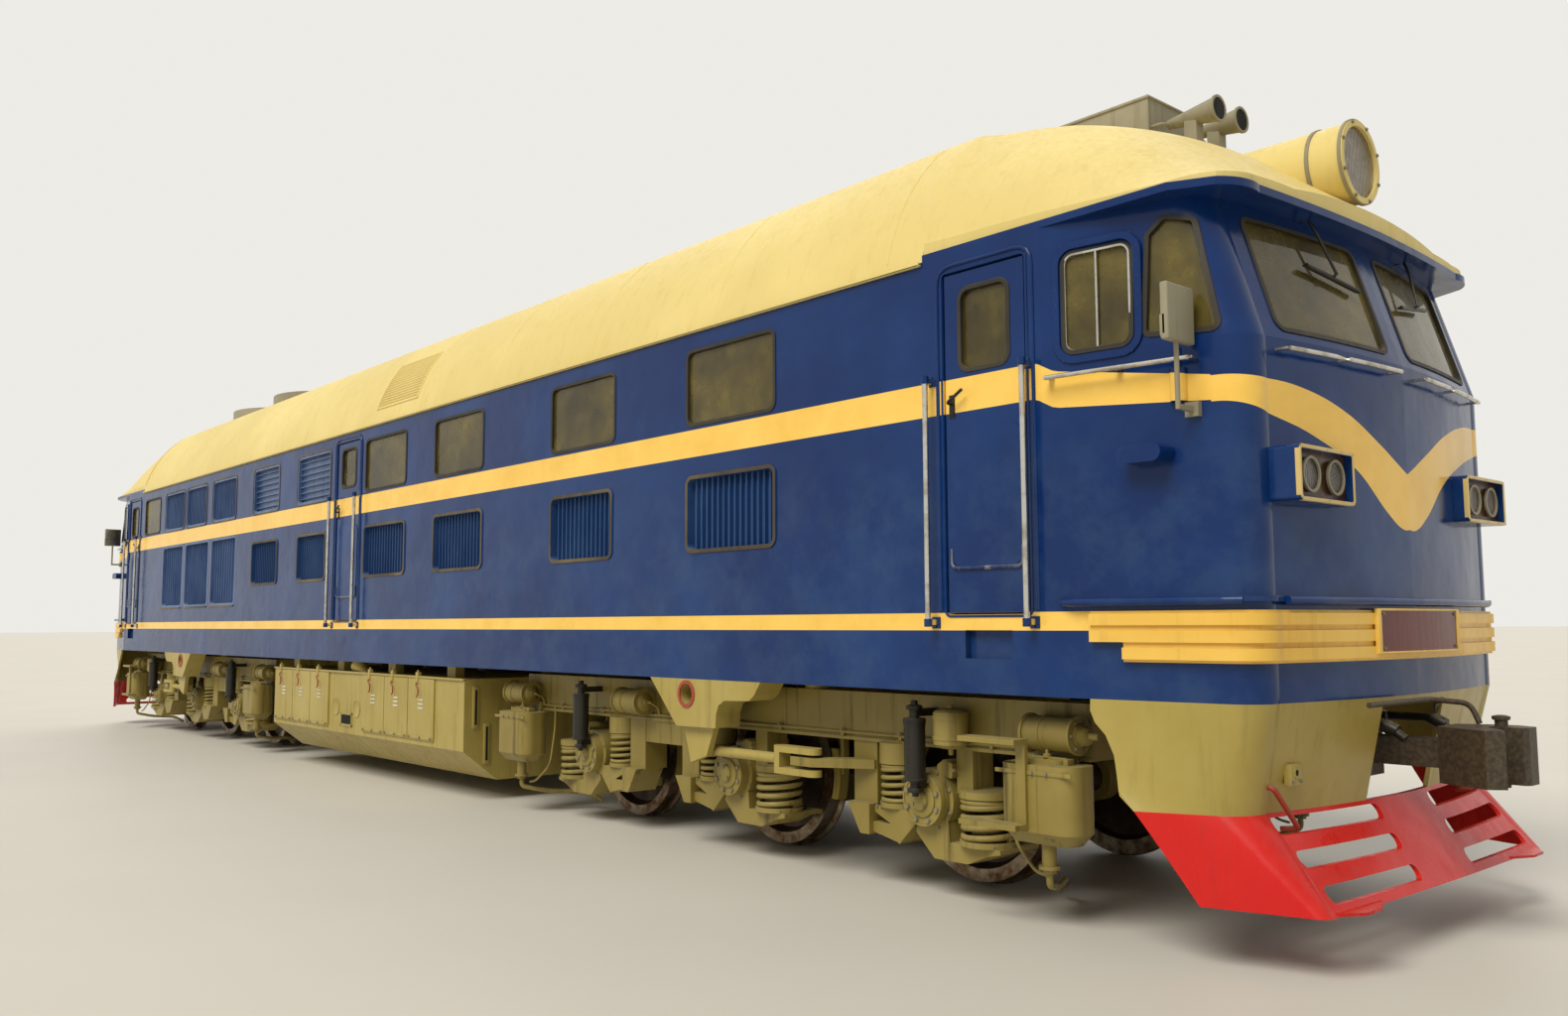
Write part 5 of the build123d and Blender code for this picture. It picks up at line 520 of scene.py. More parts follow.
for number, end in ((1, 1), (2, -1)):
    body = f"bogie_{number}"
    steel, oiled = bmesh.new(), bmesh.new()
    bolts, small_bolts, wires = [], [], []
    for name, offset, foot_z, height, coil_r, wire_r, turns in SPRINGS:
        spots = [(mirror(end, hand, BOGIE_X)(axle + low * offset, SPRING_Y, foot_z), UP)
                 for axle, low in AXLES for hand in HANDS]
        wires.append(grown(f"{body}_{name}_coils", coils, spots, body, "bogie_paint", coil_radius=coil_r,
                           wire_radius=wire_r, free_height=height, turns=turns, finish=bogie_olive))
    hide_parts(f"{body}_springs")
    for hand in HANDS:
        at, out = mirror(end, hand, BOGIE_X), (0, hand, 0)
        for axle, low in AXLES:
            turned(steel, at(axle, CAP_FACE_Y - 0.002, AXLE_Z), out, AXLE_CAP, sides=36)
            collar(steel, at(axle, CAP_FACE_Y - 0.001, AXLE_Z), out, 0.138, 0.150, 0.006)
            bolts += bolt_circle(at(axle, CAP_FACE_Y, AXLE_Z), out, 0.122, 8, math.pi / 8)
            small_bolts += bolt_circle(at(axle, BOX_FACE_Y, AXLE_Z), out, 0.169, 8, math.pi / 8)
            small_bolts += bolt_circle(at(axle, CAP_FACE_Y + 0.036, AXLE_Z), out, 0.044, 3, math.pi / 2)
            for along, up in BOX_BOLTS:
                small_bolts.append((at(axle + low * along, BOX_FACE_Y, AXLE_Z + up), out))
        for offset in CYLINDERS_X:
            way = 1 if offset > 0 else -1
            rod = (end * way, 0, 0)
            x, y, z = at(offset, CYLINDER_Y, CYLINDER_Z)
            for shift, radius, depth in CYLINDER_BANDS:
                collar(steel, (x + shift, y, z), (1, 0, 0), CYLINDER_R, radius, depth)
            turned(steel, at(offset + way * 0.158, CYLINDER_Y, CYLINDER_Z), rod, BOOT, sides=28)
            turned(steel, at(offset - way * 0.158, CYLINDER_Y, CYLINDER_Z), (-end * way, 0, 0), CYLINDER_BACK)
            small_bolts += bolt_circle(at(offset + way * 0.160, CYLINDER_Y, CYLINDER_Z), rod, 0.076, 6)
            back_x = offset - way * 0.225
            pipe(steel, (at(offset - way * 0.185, CYLINDER_Y, CYLINDER_Z), at(back_x, CYLINDER_Y, CYLINDER_Z),
                         at(back_x, 1.225, 0.950), at(back_x, 1.214, 0.895)), 0.010, bend=0.025, sides=8)
        pipe(steel, (at(-PIPE_REACH, PIPE_Y, PIPE_Z), at(PIPE_REACH, PIPE_Y, PIPE_Z)), 0.010)
        for x in CLIPS_X:
            plate(steel, at(x - 0.012, 1.198, 0.870), at(x + 0.012, 1.226, 0.916), 0.003)
            small_bolts.append((at(x, 1.226, 0.908), out))
        for z in (0.915, 1.030):
            collar(steel, at(TANK_X, TANK_Y, z), UP, TANK_R, 0.104, 0.020)
        turned(steel, at(TANK_X, TANK_Y, 1.066), UP, TANK_CAP)
        turned(steel, at(TANK_X, TANK_Y, 0.890), DOWN, TANK_FOOT)
        for x in DAMPERS_X:
            for z, radius in DAMPER_COLLARS:
                collar(oiled, at(x, DAMPER_Y, z), UP, DAMPER_R, radius, 0.014)
            turned(oiled, at(x, DAMPER_Y, 1.076), UP, DAMPER_CAP)
            turned(oiled, at(x, DAMPER_Y, 0.630), DOWN, DAMPER_FOOT)
        for box in ENDS:
            on_box = mirror(end * box, hand, box * BOGIE_X + SANDBOX_X)
            plate(steel, on_box(-0.125, SANDBOX_Y - 0.012, 0.862), on_box(0.125, SANDBOX_Y + 0.012, 0.876))
            turned(steel, on_box(0, SANDBOX_Y, 0.872), UP, SAND_KNOB, sides=16)
            for low, high in ((-0.150, -0.120), (0.120, 0.150)):
                plate(steel, on_box(low, SANDBOX_Y - 0.030, 0.838), on_box(high, SANDBOX_Y + 0.030, 0.872))
            plate(steel, on_box(-0.242, SANDBOX_FACE_Y - 0.008, 0.790),
                  on_box(0.242, SANDBOX_FACE_Y, 0.812), 0.003)
            for k in (-1, 0, 1):
                small_bolts.append((at(box * SANDBOX_X + end * 0.09 * k, SANDBOX_FACE_Y, 0.801), out))
            collar(steel, on_box(0, SANDBOX_Y, SAND_FLANGE_Z), UP, 0.0375, 0.056, 0.016, sides=24)
            small_bolts += bolt_circle(on_box(0, SANDBOX_Y, SAND_FLANGE_Z), DOWN, 0.046, 4, math.pi / 4)
            pipe(steel, [at(box * x, y, z) for x, y, z in SAND_PIPE], 0.019, bend=0.08, sides=12)
            pipe(steel, [at(box * x, y, z) for x, y, z in SAND_AIR_PIPE], 0.009, bend=0.07, sides=8)
    stand(f"{body}_pipes_and_covers", steel, bogie_olive, body)
    stand(f"{body}_damper_collars", oiled, damper_black, body)
    bolted(f"{body}_cap_bolts", bolts, body, "bogie_paint", 0.015, 0.013)
    bolted(f"{body}_small_bolts", small_bolts, body, "bogie_paint", 0.009, 0.008)


# Wheelsets. Forged steel, brown with rust on the web and rubbed bright by the
# shoes on the tread, where a thin film of rust has come back.
def bare_metal(name, colours, grain, spread, rough, metallic=1.0, relief=None):
    """Unpainted metal in two mottled colours; grain is the noise, spread the part of it that blends them."""
    made, tree, place = blank_material(name)
    mottle = noise(tree, place, *grain)
    sockets = {"Base Color": mix_colour(tree, ramp(tree, mottle, *spread), *colours), "Metallic": metallic,
               "Roughness": ramp(tree, mottle, 0.3, 0.7, *rough)}
    if relief:
        sockets["Normal"] = bump(tree, mottle, *relief)
    close_material(tree, sockets)
    return made


def mark_faces(name, material, chosen):
    """Gives a second finish to the faces of a part whose middle is chosen."""
    mesh = cad[name].data
    mesh.materials.append(material)
    for face in mesh.polygons:
        if chosen(face.center):
            face.material_index = 1


rusted = bare_metal("rusted_forged_steel", ("#4A3524", "#2B2119"), (9.0, 8.0, 0.7), (0.35, 0.65),
                    (0.45, 0.75), metallic=0.45, relief=(0.35, 0.003))
rolled = bare_metal("rolled_tyre_steel", ("#8A7F6C", "#5C3F28"), (9.0, 6.0, 0.65), (0.42, 0.62), (0.28, 0.6))
TYRE_R = 0.470
for number, axle_x in enumerate((7.8, 6.0, 4.2, -4.2, -6.0, -7.8), 1):
    dress(rusted, f"wheelset_{number}")
    mark_faces(f"wheelset_{number}", rolled, lambda c: math.hypot(c.x - axle_x, c.z - AXLE_Z) > TYRE_R)

# Couplers. Cast steel knuckle heads, rough from the mould and dark with grease.
# Their edges, and those of the heaviest plate parts, are ground round.
cast = bare_metal("greasy_cast_steel", ("#3A3226", "#574A36"), (45.0, 6.0), (0.4, 0.7), (0.55, 0.55),
                  metallic=0.3, relief=(0.5, 0.002))
dress(cast, "couplers")
for name, edge in (("couplers", 0.018), ("lifting_brackets", 0.006), ("traction_rods", 0.006),
                   ("bogie_1_frame", 0.008), ("bogie_2_frame", 0.008)):
    softened = cad[name].modifiers.new("rolled_edges", "BEVEL")
    softened.width, softened.segments, softened.limit_method = edge, 2, "ANGLE"
    softened.angle_limit = math.radians(50)

# Bodyside. Blue gloss enamel on thin welded sheet, with two yellow lines that
# were masked by hand: one over the sill and one under the windows, which dips
# at the cab and drops in a curve across the front.
SIDE_LINE, SIDE_FACE_Y = (1.533, 1.628), (1.47, 1.48)
LINE_END_X, CORNER_X = 9.2, 9.78
SIDE_BELOW = ((0, 2.728), (8.86, 2.728), (8.97, 2.668), (9.8, 2.610))
SIDE_ABOVE = ((0, 2.918), (8.86, 2.918), (8.97, 2.858), (9.8, 2.730))
FRONT_BELOW = ((0, 2.048), (0.08, 2.048), (0.23, 2.118), (0.52, 2.318), (0.90, 2.468), (1.27, 2.558),
               (1.45, 2.610))
FRONT_ABOVE = ((0, 2.340), (0.02, 2.348), (0.28, 2.468), (0.61, 2.608), (1.0, 2.698), (1.36, 2.720),
               (1.45, 2.730))


def edge_curve(tree, value, table, handle):
    """A height in metres that follows a table of (distance, height), 0 to 5 m up."""
    made = node(tree, "ShaderNodeFloatCurve", {"Value": value})
    line = made.mapping.curves[0]
    reach = table[-1][0]
    for x, z in table[1:-1]:
        line.points.new(x / reach, z / 5)
    for point, (x, z) in zip(sorted(line.points, key=lambda p: p.location[0]), table):
        point.location = (x / reach, z / 5)
        point.handle_type = handle
    made.mapping.update()
    return maths(tree, "MULTIPLY", made.outputs[0], 5.0)


def between(tree, value, low, high):
    """1 where value lies between low and high, with edges 2 mm soft."""
    sides = [ramp(tree, maths(tree, "SUBTRACT", first, second), -0.001, 0.001)
             for first, second in ((value, low), (high, value))]
    return maths(tree, "MULTIPLY", *sides)


def body_enamel(name, lined):
    made, tree, place = blank_material(name)
    axes = node(tree, "ShaderNodeSeparateXYZ", {0: place}).outputs
    patches = noise(tree, place, 0.8, 5.0, 0.6)
    colour = mix_colour(tree, ramp(tree, patches, 0.4, 0.7), "#0A2A60", "#123A74")
    # Lighter blotches low on the sides and towards the rear end are a painted reflection of the bright hall
    # in the gloss enamel.
    low_down = ramp(tree, axes["Z"], 2.75, 2.2, 0.0, 0.8)
    rear = ramp(tree, axes["X"], -2.0, -8.0)
    blotches = noise(tree, place, 3.0, 7.0, 0.68)
    painted_reflection = maths(tree, "MULTIPLY", maths(tree, "MAXIMUM", low_down, rear),
                 ramp(tree, blotches, 0.44, 0.70, 0.0, 0.42))
    colour = mix_colour(tree, painted_reflection, colour, "#3F5878")
    if lined:
        along, across = maths(tree, "ABSOLUTE", axes["X"]), maths(tree, "ABSOLUTE", axes["Y"])
        bands = []
        for distance, below, above, handle in ((along, SIDE_BELOW, SIDE_ABOVE, "VECTOR"),
                                               (across, FRONT_BELOW, FRONT_ABOVE, "AUTO")):
            share = ramp(tree, distance, 0.0, below[-1][0])
            edges = [edge_curve(tree, share, table, handle) for table in (below, above)]
            bands.append(between(tree, axes["Z"], *edges))
        on_front = maths(tree, "GREATER_THAN", along, CORNER_X)
        band = node(tree, "ShaderNodeMix", {"Factor": on_front, "A": bands[0], "B": bands[1]}).outputs[0]
        low_line = maths(tree, "MULTIPLY", between(tree, axes["Z"], *SIDE_LINE),
                         maths(tree, "LESS_THAN", along, LINE_END_X))
        low_line = maths(tree, "MULTIPLY", low_line, ramp(tree, across, *SIDE_FACE_Y))
        yellow = mix_colour(tree, ramp(tree, blotches, 0.4, 0.75), "#FCD066", "#EFC053")
        colour = mix_colour(tree, maths(tree, "MAXIMUM", band, low_line), colour, yellow)
    wave = bump(tree, noise(tree, place, 2.6, 2.5), 0.5, 0.02)
    peel = bump(tree, noise(tree, place, 60.0, 3.0), 0.05, 0.002, wave)
    close_material(tree, {"Base Color": colour, "Normal": peel, "IOR": 1.5, "Specular IOR Level": 0.26,
                          "Roughness": ramp(tree, blotches, 0.35, 0.75, 0.12, 0.26)})
    return made


lined_blue = body_enamel("blue_gloss_enamel_lined", True)
plain_blue = body_enamel("blue_gloss_enamel", False)
doors = [f"door_{spot}_{side}" for spot in ("cab_1", "mid", "cab_2") for side in SIDES.values()]
dress(lined_blue, "side_wall_right", "side_wall_left", "cab_1_shell", "cab_2_shell", *doors)
dress(plain_blue, "marker_lamps")

# Louvres and radiators. Pressed slats in chalky blue, paler on the radiators as a
# painted reflection of the bright hall, and a dull rolled bead round each louvred window.
slat_blue = painted_steel("chalky_blue_enamel", "#28497A", "#3E5F8C", "#17294A", rough=0.4, streaks=0.5,
                          dust=0.5)
dress(slat_blue, "window_louvres")
# The paler blue on the radiator slats is a painted reflection of the bright hall.
radiator_blue = painted_steel("sun_bleached_blue_enamel", "#46608C", "#5E759E", "#243A60", rough=0.35,
                              streaks=0.6)
dress(radiator_blue, "radiator_shutters")
frame_bead = painted_steel("weathered_frame_bead", "#43392A", "#736344", "#241E14", rough=0.5, dust=0.4)
LOUVRE_BEAD_Y = 1.5505
mark_faces("window_louvres", frame_bead, lambda c: abs(c.y) > LOUVRE_BEAD_Y)

# Roof. Cream enamel over riveted sheet, chalky with age. The fan cowls, horns and
# mirrors are in plain grey, and the fans are of dull cast alloy.
cream = painted_steel("chalky_cream_enamel", "#DCC77C", "#E8D489", "#94824A", rough=0.46, streaks=0.15,
                      dust=0.15, ripple=0.3, patch_mm=1600)
dress(cream, "roof_shell", "roof_hatches", "headlamps")
grey_fittings = painted_steel("grey_fitting_enamel", "#8D8770", "#A09A82", "#4B4534", rough=0.5, dust=0.7)
dress(grey_fittings, "fan_cowls", "roof_horns", "mirrors")
fan_alloy = painted_steel("cast_fan_alloy", "#8C8B84", "#9B9A92", "#3C3A34", rough=0.45)
dress(fan_alloy, "cooling_fan_1", "cooling_fan_2")

# Skirts, ploughs and front belts. Folded and pressed sheet under olive, signal
# red and yellow enamel, with road dirt run down from the edges.
skirt_olive = painted_steel("olive_skirt_enamel", "#A39148", "#AF9E57", "#625126", rough=0.33, streaks=0.3)
dress(skirt_olive, "skirts")
plough_red = painted_steel("red_plough_enamel", "#C8120C", "#D01C12", "#5E1410", rough=0.28, streaks=0.25,
                           dust=0.12)
dress(plough_red, "ploughs")
belt_yellow = painted_steel("yellow_belt_enamel", "#F4C960", "#E6B74D", "#9A7430", rough=0.34, streaks=0.35)
dress(belt_yellow, "front_belts")

# Glazing in rubber. Tinted glass, grey-brown with dust on the outside, and
# fluted lamp glass.
glass, tree, place = blank_material("dusty_tinted_glass")
thin = ramp(tree, noise(tree, place, 4.0, 7.0, 0.65), 0.32, 0.72, 0.22, 0.62)
pane = node(tree, "ShaderNodeBsdfPrincipled", {"Base Color": linear("#877942"), "Roughness": 0.04, "IOR": 1.5,
                                               "Specular IOR Level": 0.3, "Transmission Weight": 1.0})
dried = mix_colour(tree, ramp(tree, noise(tree, place, 1.6, 8.0, 0.7), 0.38, 0.64), "#564B1E", "#8E7E38")
grime = node(tree, "ShaderNodeBsdfPrincipled", {"Base Color": dried, "Roughness": 0.4,
                                                "Specular IOR Level": 0.3})
both = node(tree, "ShaderNodeMixShader", {0: thin, 1: pane.outputs[0], 2: grime.outputs[0]})
node(tree, "ShaderNodeOutputMaterial", {"Surface": both.outputs[0]})
dress(glass, "glazing")
lamp_glass, tree, place = blank_material("fluted_lamp_glass")
flutes = node(tree, "ShaderNodeTexWave", {"Vector": place, "Scale": 18.0, "Distortion": 0.0},
              bands_direction="Y")
close_material(tree, {
    "Base Color": linear("#F0E2BC"), "IOR": 1.5, "Transmission Weight": 1.0,
    "Normal": bump(tree, flutes.outputs["Fac"], 0.25, 0.004),
    "Roughness": ramp(tree, noise(tree, place, 30.0, 5.0), 0.35, 0.7, 0.02, 0.22)})
dress(lamp_glass, "lamp_lenses")
rubber = painted_steel("aged_window_rubber", "#2A261F", "#3D382C", "#4F4837", rough=0.6, streaks=0.4,
                       dust=0.5)
dress(rubber, "window_seals")

# Handrails. Chromed steel tube, polished bright where hands take hold and dull
# between.
bright = bare_metal("worn_chromed_tube", ("#C9C6BE", "#9E998C"), (12.0, 6.0), (0.45, 0.7), (0.16, 0.38))
dress(bright, "handrails")

# Door glass, gaskets and furniture. Each leaf has its own pane in a black
# rubber frame, a lever handle with a lock plate, and a pressed lip low down.
# columns: leaf, first and last x, foot and head of the pane, end
DOOR_LEAVES = (("cab_1", 8.240, 8.790, 2.948, 3.418, 1), ("mid", -0.420, 0.160, 3.028, 3.448, 1),
               ("cab_2", 8.240, 8.790, 2.948, 3.418, -1))
PANE_MARGIN, PANE_CORNER, PANE_LOW_Y, PANE_HIGH_Y = 0.100, 0.070, 1.512, 1.528
LEAF_FACE_Y, LIP_Z = 1.544, 1.868
worn_blue = painted_steel("scuffed_blue_enamel", "#0F2A5C", "#8F96A0", "#C9C2B0", rough=0.24, streaks=0.8,
                          dust=0.3)


def on_side(end, hand, y=1.550):
    """Places on the bodyside: along, up, and out from the sheet at y."""
    return lambda x, z, out=0.0: (end * x, hand * (y + out), z)


def frame_ring(form, low, high, corner, width, back, proud, place, steps=6):
    """A flat rounded frame: low and high are its inner corners; place turns (along, up, out) into a point."""
    left, foot, right, head = low[0] + corner, low[1] + corner, high[0] - corner, high[1] - corner
    rows = []
    for grow, depth in ((0, back), (0, proud - 0.002), (0.002, proud), (width - 0.003, proud),
                        (width, proud - 0.003), (width, back)):
        radius = corner + grow
        row = []
        for turn, (cx, cz) in enumerate(((right, head), (left, head), (left, foot), (right, foot))):
            for k in range(steps + 1):
                a = (turn + k / steps) * math.pi / 2
                row.append(form.verts.new(place(cx + radius * math.cos(a), cz + radius * math.sin(a), depth)))
        rows.append(row)
    bridge(form, rows + rows[:1])


for leaf, first, last, foot, head, end in DOOR_LEAVES:
    for hand in HANDS:
        body = f"door_{leaf}_{SIDES[hand]}"
        left, right = first + PANE_MARGIN, last - PANE_MARGIN
        mark_faces(body, glass, lambda c: (left - 0.002 < end * c.x < right + 0.002
                                           and foot - 0.002 < c.z < head + 0.002
                                           and PANE_LOW_Y < abs(c.y) < PANE_HIGH_Y))
        gasket, lever, lip = (bmesh.new() for _ in range(3))
        frame_ring(gasket, (left + 0.018, foot + 0.018), (right - 0.018, head - 0.018), PANE_CORNER - 0.018,
                   0.026, -0.034, 0.006, on_side(end, hand, LEAF_FACE_Y))
        stand(f"{body}_gasket", gasket, rubber, body)
        on_handle = mirror(end, hand, first + 0.045)
        plate(lever, on_handle(-0.020, 1.542, 2.700), on_handle(0.020, 1.549, 2.830))
        pipe(lever, (on_handle(0, 1.546, 2.780), on_handle(0, 1.590, 2.780), on_handle(0.110, 1.592, 2.842)),
             0.009, bend=0.02)
        turned(lever, on_handle(0, 1.547, 2.725), (0, hand, 0), ((0, 0.012), (0.005, 0.012), (0.007, 0.004)),
               sides=16)
        stand(f"{body}_handle", lever, damper_black, body)
        on_face = on_side(end, hand, 1.549)
        pipe(lip, [on_face(x, LIP_Z + rise) for x, rise in ((first + 0.030, 0.110), (first + 0.030, 0),
                                                            (last - 0.030, 0), (last - 0.030, 0.110))],
             0.011, bend=0.080, sides=12)
        stand(f"{body}_drip_lip", lip, worn_blue, body)

# Bodyside trim. Rolled strips welded on: a rim round every door, a gutter
# along the eaves, thin beads round the upper inlets and a lip under each radiator.
INLETS_X = ((-1.600, -0.620), (-3.080, -2.190), (-4.680, -3.730), (-5.820, -4.930), (-6.860, -5.930))
RADIATORS_X, RADIATOR_FOOT_Z = ((-6.920, -5.940), (-5.840, -4.790), (-4.690, -3.690)), 1.838
INLET_FOOT_Z, INLET_HEAD_Z = 2.938, 3.488
DOOR_FOOT_Z, DOOR_HEAD_Z, GUTTER_X, GUTTER_Z = 1.628, 3.508, 8.070, 3.604
trim, gutter, beads = (bmesh.new() for _ in range(3))
for leaf, first, last, foot, head, end in DOOR_LEAVES:
    for hand in HANDS:
        on_wall = on_side(end, hand)
        frame_ring(trim, (first - 0.014, DOOR_FOOT_Z - 0.012), (last + 0.014, DOOR_HEAD_Z + 0.012), 0.030,
                   0.014, -0.003, 0.006, on_wall)
        pipe(trim, (on_wall(first - 0.052, 1.640), on_wall(first - 0.052, 3.560),
                    on_wall(last + 0.058, 3.560), on_wall(last + 0.058, 1.640)), 0.012, bend=0.110, sides=12)
for hand in HANDS:
    on_wall = on_side(1, hand)
    for first, last in INLETS_X:
        frame_ring(beads, (first, INLET_FOOT_Z), (last, INLET_HEAD_Z), 0.070, 0.018, -0.003, 0.007, on_wall)
    for first, last in RADIATORS_X:
        plate(beads, on_wall(first + 0.03, RADIATOR_FOOT_Z - 0.022, -0.002),
              on_wall(last - 0.03, RADIATOR_FOOT_Z - 0.004, 0.012), 0.003)
    for back, rise in ((-0.001, 0.012), (0.016, 0.024)):
        plate(gutter, on_wall(-GUTTER_X, GUTTER_Z, back), on_wall(GUTTER_X, GUTTER_Z + rise, 0.022), 0.003)
stand("door_rims", trim, plain_blue, "body")
stand("eave_gutters", gutter, cream, "body")
stand("inlet_beads", beads, frame_bead, "body")

# Cab side windows. The side pane slides in a raised pressed frame that is
# riveted to the wall, which tapers in toward the front from behind the window.
TAPER_X, TAPER_Y, CORNER_Y, TAPER_END_X = 8.900, 1.550, 1.427, 9.800
lean = math.atan2(TAPER_Y - CORNER_Y, TAPER_END_X - TAPER_X)


def on_taper(end, hand):
    """Places on a tapered cab wall: along, up, and out from the sheet."""
    def place(x, z, out):
        base = TAPER_Y - (x - TAPER_X) * math.tan(lean)
        return (end * (x + out * math.sin(lean)), hand * (base + out * math.cos(lean)), z)
    return place


def rivet_tree():
    """Small domed heads, one on each point, turned to the point's own direction."""
    made, given = maker_tree("dome_heads", "Head Radius")
    dome = node(made, "GeometryNodeMeshUVSphere", {"Segments": 8, "Rings": 5, "Radius": given["Head Radius"]})
    flat = node(made, "GeometryNodeTransform", {"Geometry": dome.outputs["Mesh"], "Scale": (1.0, 1.0, 0.55)})
    set_on_points(made, given, flat.outputs[0], outward(made), smooth=True)
    return made


frames, bars, rivets = bmesh.new(), bmesh.new(), []
for end, hand in CORNERS:
    place, facing = on_taper(end, hand), (end * math.sin(lean), hand * math.cos(lean), 0)
    frame_ring(frames, (9.012, 2.920), (9.418, 3.476), 0.078, 0.040, -0.004, 0.012, place)
    frame_ring(bars, (9.046, 2.954), (9.384, 3.442), 0.044, 0.014, -0.020, 0.002, place)
    pipe(bars, (place(9.215, 2.950, -0.006), place(9.215, 3.446, -0.006)), 0.008, sides=8)
    for k in range(7):
        for z in (2.900, 3.496):
            rivets.append((place(9.030 + 0.062 * k, z, 0.010), facing))
    for k in range(1, 8):
        for x in (8.992, 9.438):
            rivets.append((place(x, 2.900 + 0.0745 * k, 0.010), facing))
stand("side_window_frames", frames, plain_blue, "body")
stand("side_window_slides", bars, bright, "body")
dome_heads = rivet_tree()
grown("side_window_rivets", dome_heads, rivets, "body", "body_blue", head_radius=0.006, finish=plain_blue)

# Roof fittings. Hatch lids are bolted down over rubber and lifted by welded
# loops.
HATCHES = ((-2.9, -1.5), (-1.4, 0.0), (0.1, 1.5), (1.6, 3.0), (3.1, 4.5), (4.7, 6.1), (6.2, 7.6))
BOLT_ROW_Y, BOLT_INSET, LOOP_INSET, LID_TOP = 0.595, 0.05, 0.25, 0.027


def roof_z(y):
    """Height of the roof sheet over a place across the body, to either side of the ridge."""
    y = abs(y)
    return 4.628 - 0.110 * y * y if y <= 1.0 else 4.518 - (y - 1.0) * 1.618


hatch_bolts, loops = [], bmesh.new()
for first, last in HATCHES:
    for y in (-BOLT_ROW_Y, BOLT_ROW_Y):
        for k in range(9):
            x = first + BOLT_INSET + k * (last - first - 2 * BOLT_INSET) / 8
            hatch_bolts.append(((x, y, roof_z(y) + LID_TOP), UP))
    for x in (first + BOLT_INSET, last - BOLT_INSET):
        for k in range(1, 7):
            y = BOLT_ROW_Y * (2 * k / 7 - 1)
            hatch_bolts.append(((x, y, roof_z(y) + LID_TOP), UP))
    for x in (first + LOOP_INSET, last - LOOP_INSET):
        for y in (-0.38, 0.38):
            foot = (x, y, roof_z(y) + 0.026)
            pipe(loops, [Vector(foot) + Vector((along, 0, rise))
                         for along, rise in ((-0.05, 0), (-0.05, 0.05), (0.05, 0.05), (0.05, 0))],
                 0.009, bend=0.025, sides=8)
bolted("hatch_bolts", hatch_bolts, "body", "roof_cream", 0.010, 0.009, cream)
stand("hatch_loops", loops, cream, "body")

# Fan guards. Round wire rings welded to twelve radial bars, with a plate at the
# middle, inside each cowl's lip.
FANS_X, FAN_GUARD_R, GUARD_Z, WIRE_R, RING_STEPS = (-4.6, -6.3), 0.735, 4.722, 0.004, 48
guards = bmesh.new()
for fan_x in FANS_X:
    middle = Vector((fan_x, 0, GUARD_Z))
    for k in range(13):
        rows = []
        for step in range(RING_STEPS):
            a = 2 * math.pi * step / RING_STEPS
            spoke = Vector((math.cos(a), math.sin(a), 0))
            rows.append(ring(guards, middle + (0.10 + k * 0.052) * spoke, WIRE_R, spoke, Vector(UP), 4))
        bridge(guards, rows + rows[:1])
    for k in range(12):
        spoke = Vector((math.cos(k * math.pi / 6), math.sin(k * math.pi / 6), 0))
        bar_centre = middle - Vector((0, 0, 0.008))
        pipe(guards, (bar_centre + 0.08 * spoke, bar_centre + FAN_GUARD_R * spoke), 0.006, sides=6)
    turned(guards, (fan_x, 0, GUARD_Z - 0.014), UP, ((0, 0.09), (0.012, 0.09), (0.020, 0.07), (0.022, 0.001)))
stand("fan_guards", guards, grey_fittings, "body")


# Roof intake grilles and lapped seams. Pressed slats in a welded frame on each
# flank of the roof; the seams are the welded laps where two roof sheets meet.
def skin(name):
    """A search tree of a part's own surface, so that trim can be laid on it."""
    mesh = cad[name].data
    return BVHTree.FromPolygons([v.co for v in mesh.vertices], [tuple(p.vertices) for p in mesh.polygons])


def from_side(surface, hand, x, z):
    """The first place that a level line from one side meets on a surface, and the way that it faces there."""
    return surface.ray_cast(Vector((x, hand * 3, z)), Vector((0, -hand, 0)))[:2]


def slat_tree():
    """Long thin slats, one on each point, leaning out of the sheet that they vent."""
    made, given = maker_tree("vent_slats", "Length", "Depth", "Lean")
    size = node(made, "ShaderNodeCombineXYZ", {"X": given["Length"], "Y": 0.003, "Z": given["Depth"]})
    slat = node(made, "GeometryNodeMeshCube", {"Size": size.outputs[0]})
    tip = node(made, "ShaderNodeCombineXYZ", {"X": given["Lean"]})
    leaning = node(made, "GeometryNodeTransform", {"Geometry": slat.outputs["Mesh"],
                                                   "Rotation": tip.outputs[0]})
    set_on_points(made, given, leaning.outputs[0], outward(made, pivot_axis="X"))
    return made


roof_skin, vent_slats = skin("roof_shell"), slat_tree()
GRILLE_X, GRILLE_FOOT_Z, GRILLE_RISE, SLATS, RIM_STEPS = (0.500, 1.400), 3.810, 0.430, 15, 11
grille_frames = bmesh.new()
for hand in HANDS:
    slats, rims = [], []
    for k in range(SLATS):
        z = GRILLE_FOOT_Z + GRILLE_RISE * k / (SLATS - 1)
        spot, facing = from_side(roof_skin, hand, sum(GRILLE_X) / 2, z)
        slats.append((tuple(spot), (0, facing.y, facing.z)))
    heights = [GRILLE_FOOT_Z - 0.025 + (GRILLE_RISE + 0.05) * k / RIM_STEPS for k in range(RIM_STEPS + 1)]
    for x in (GRILLE_X[0] - 0.018, GRILLE_X[1] + 0.018):
        rims.append([from_side(roof_skin, hand, x, z)[0] for z in heights])
        pipe(grille_frames, rims[-1], 0.011, bend=0.01, sides=8)
    for spot in (0, -1):
        pipe(grille_frames, (rims[0][spot], rims[1][spot]), 0.011, sides=8)
    grown(f"roof_grille_slats_{SIDES[hand]}", vent_slats, slats, "body", "roof_cream",
          length=GRILLE_X[1] - GRILLE_X[0], depth=0.030, lean=hand * 0.75, finish=cream)
stand("roof_grille_frames", grille_frames, cream, "body")
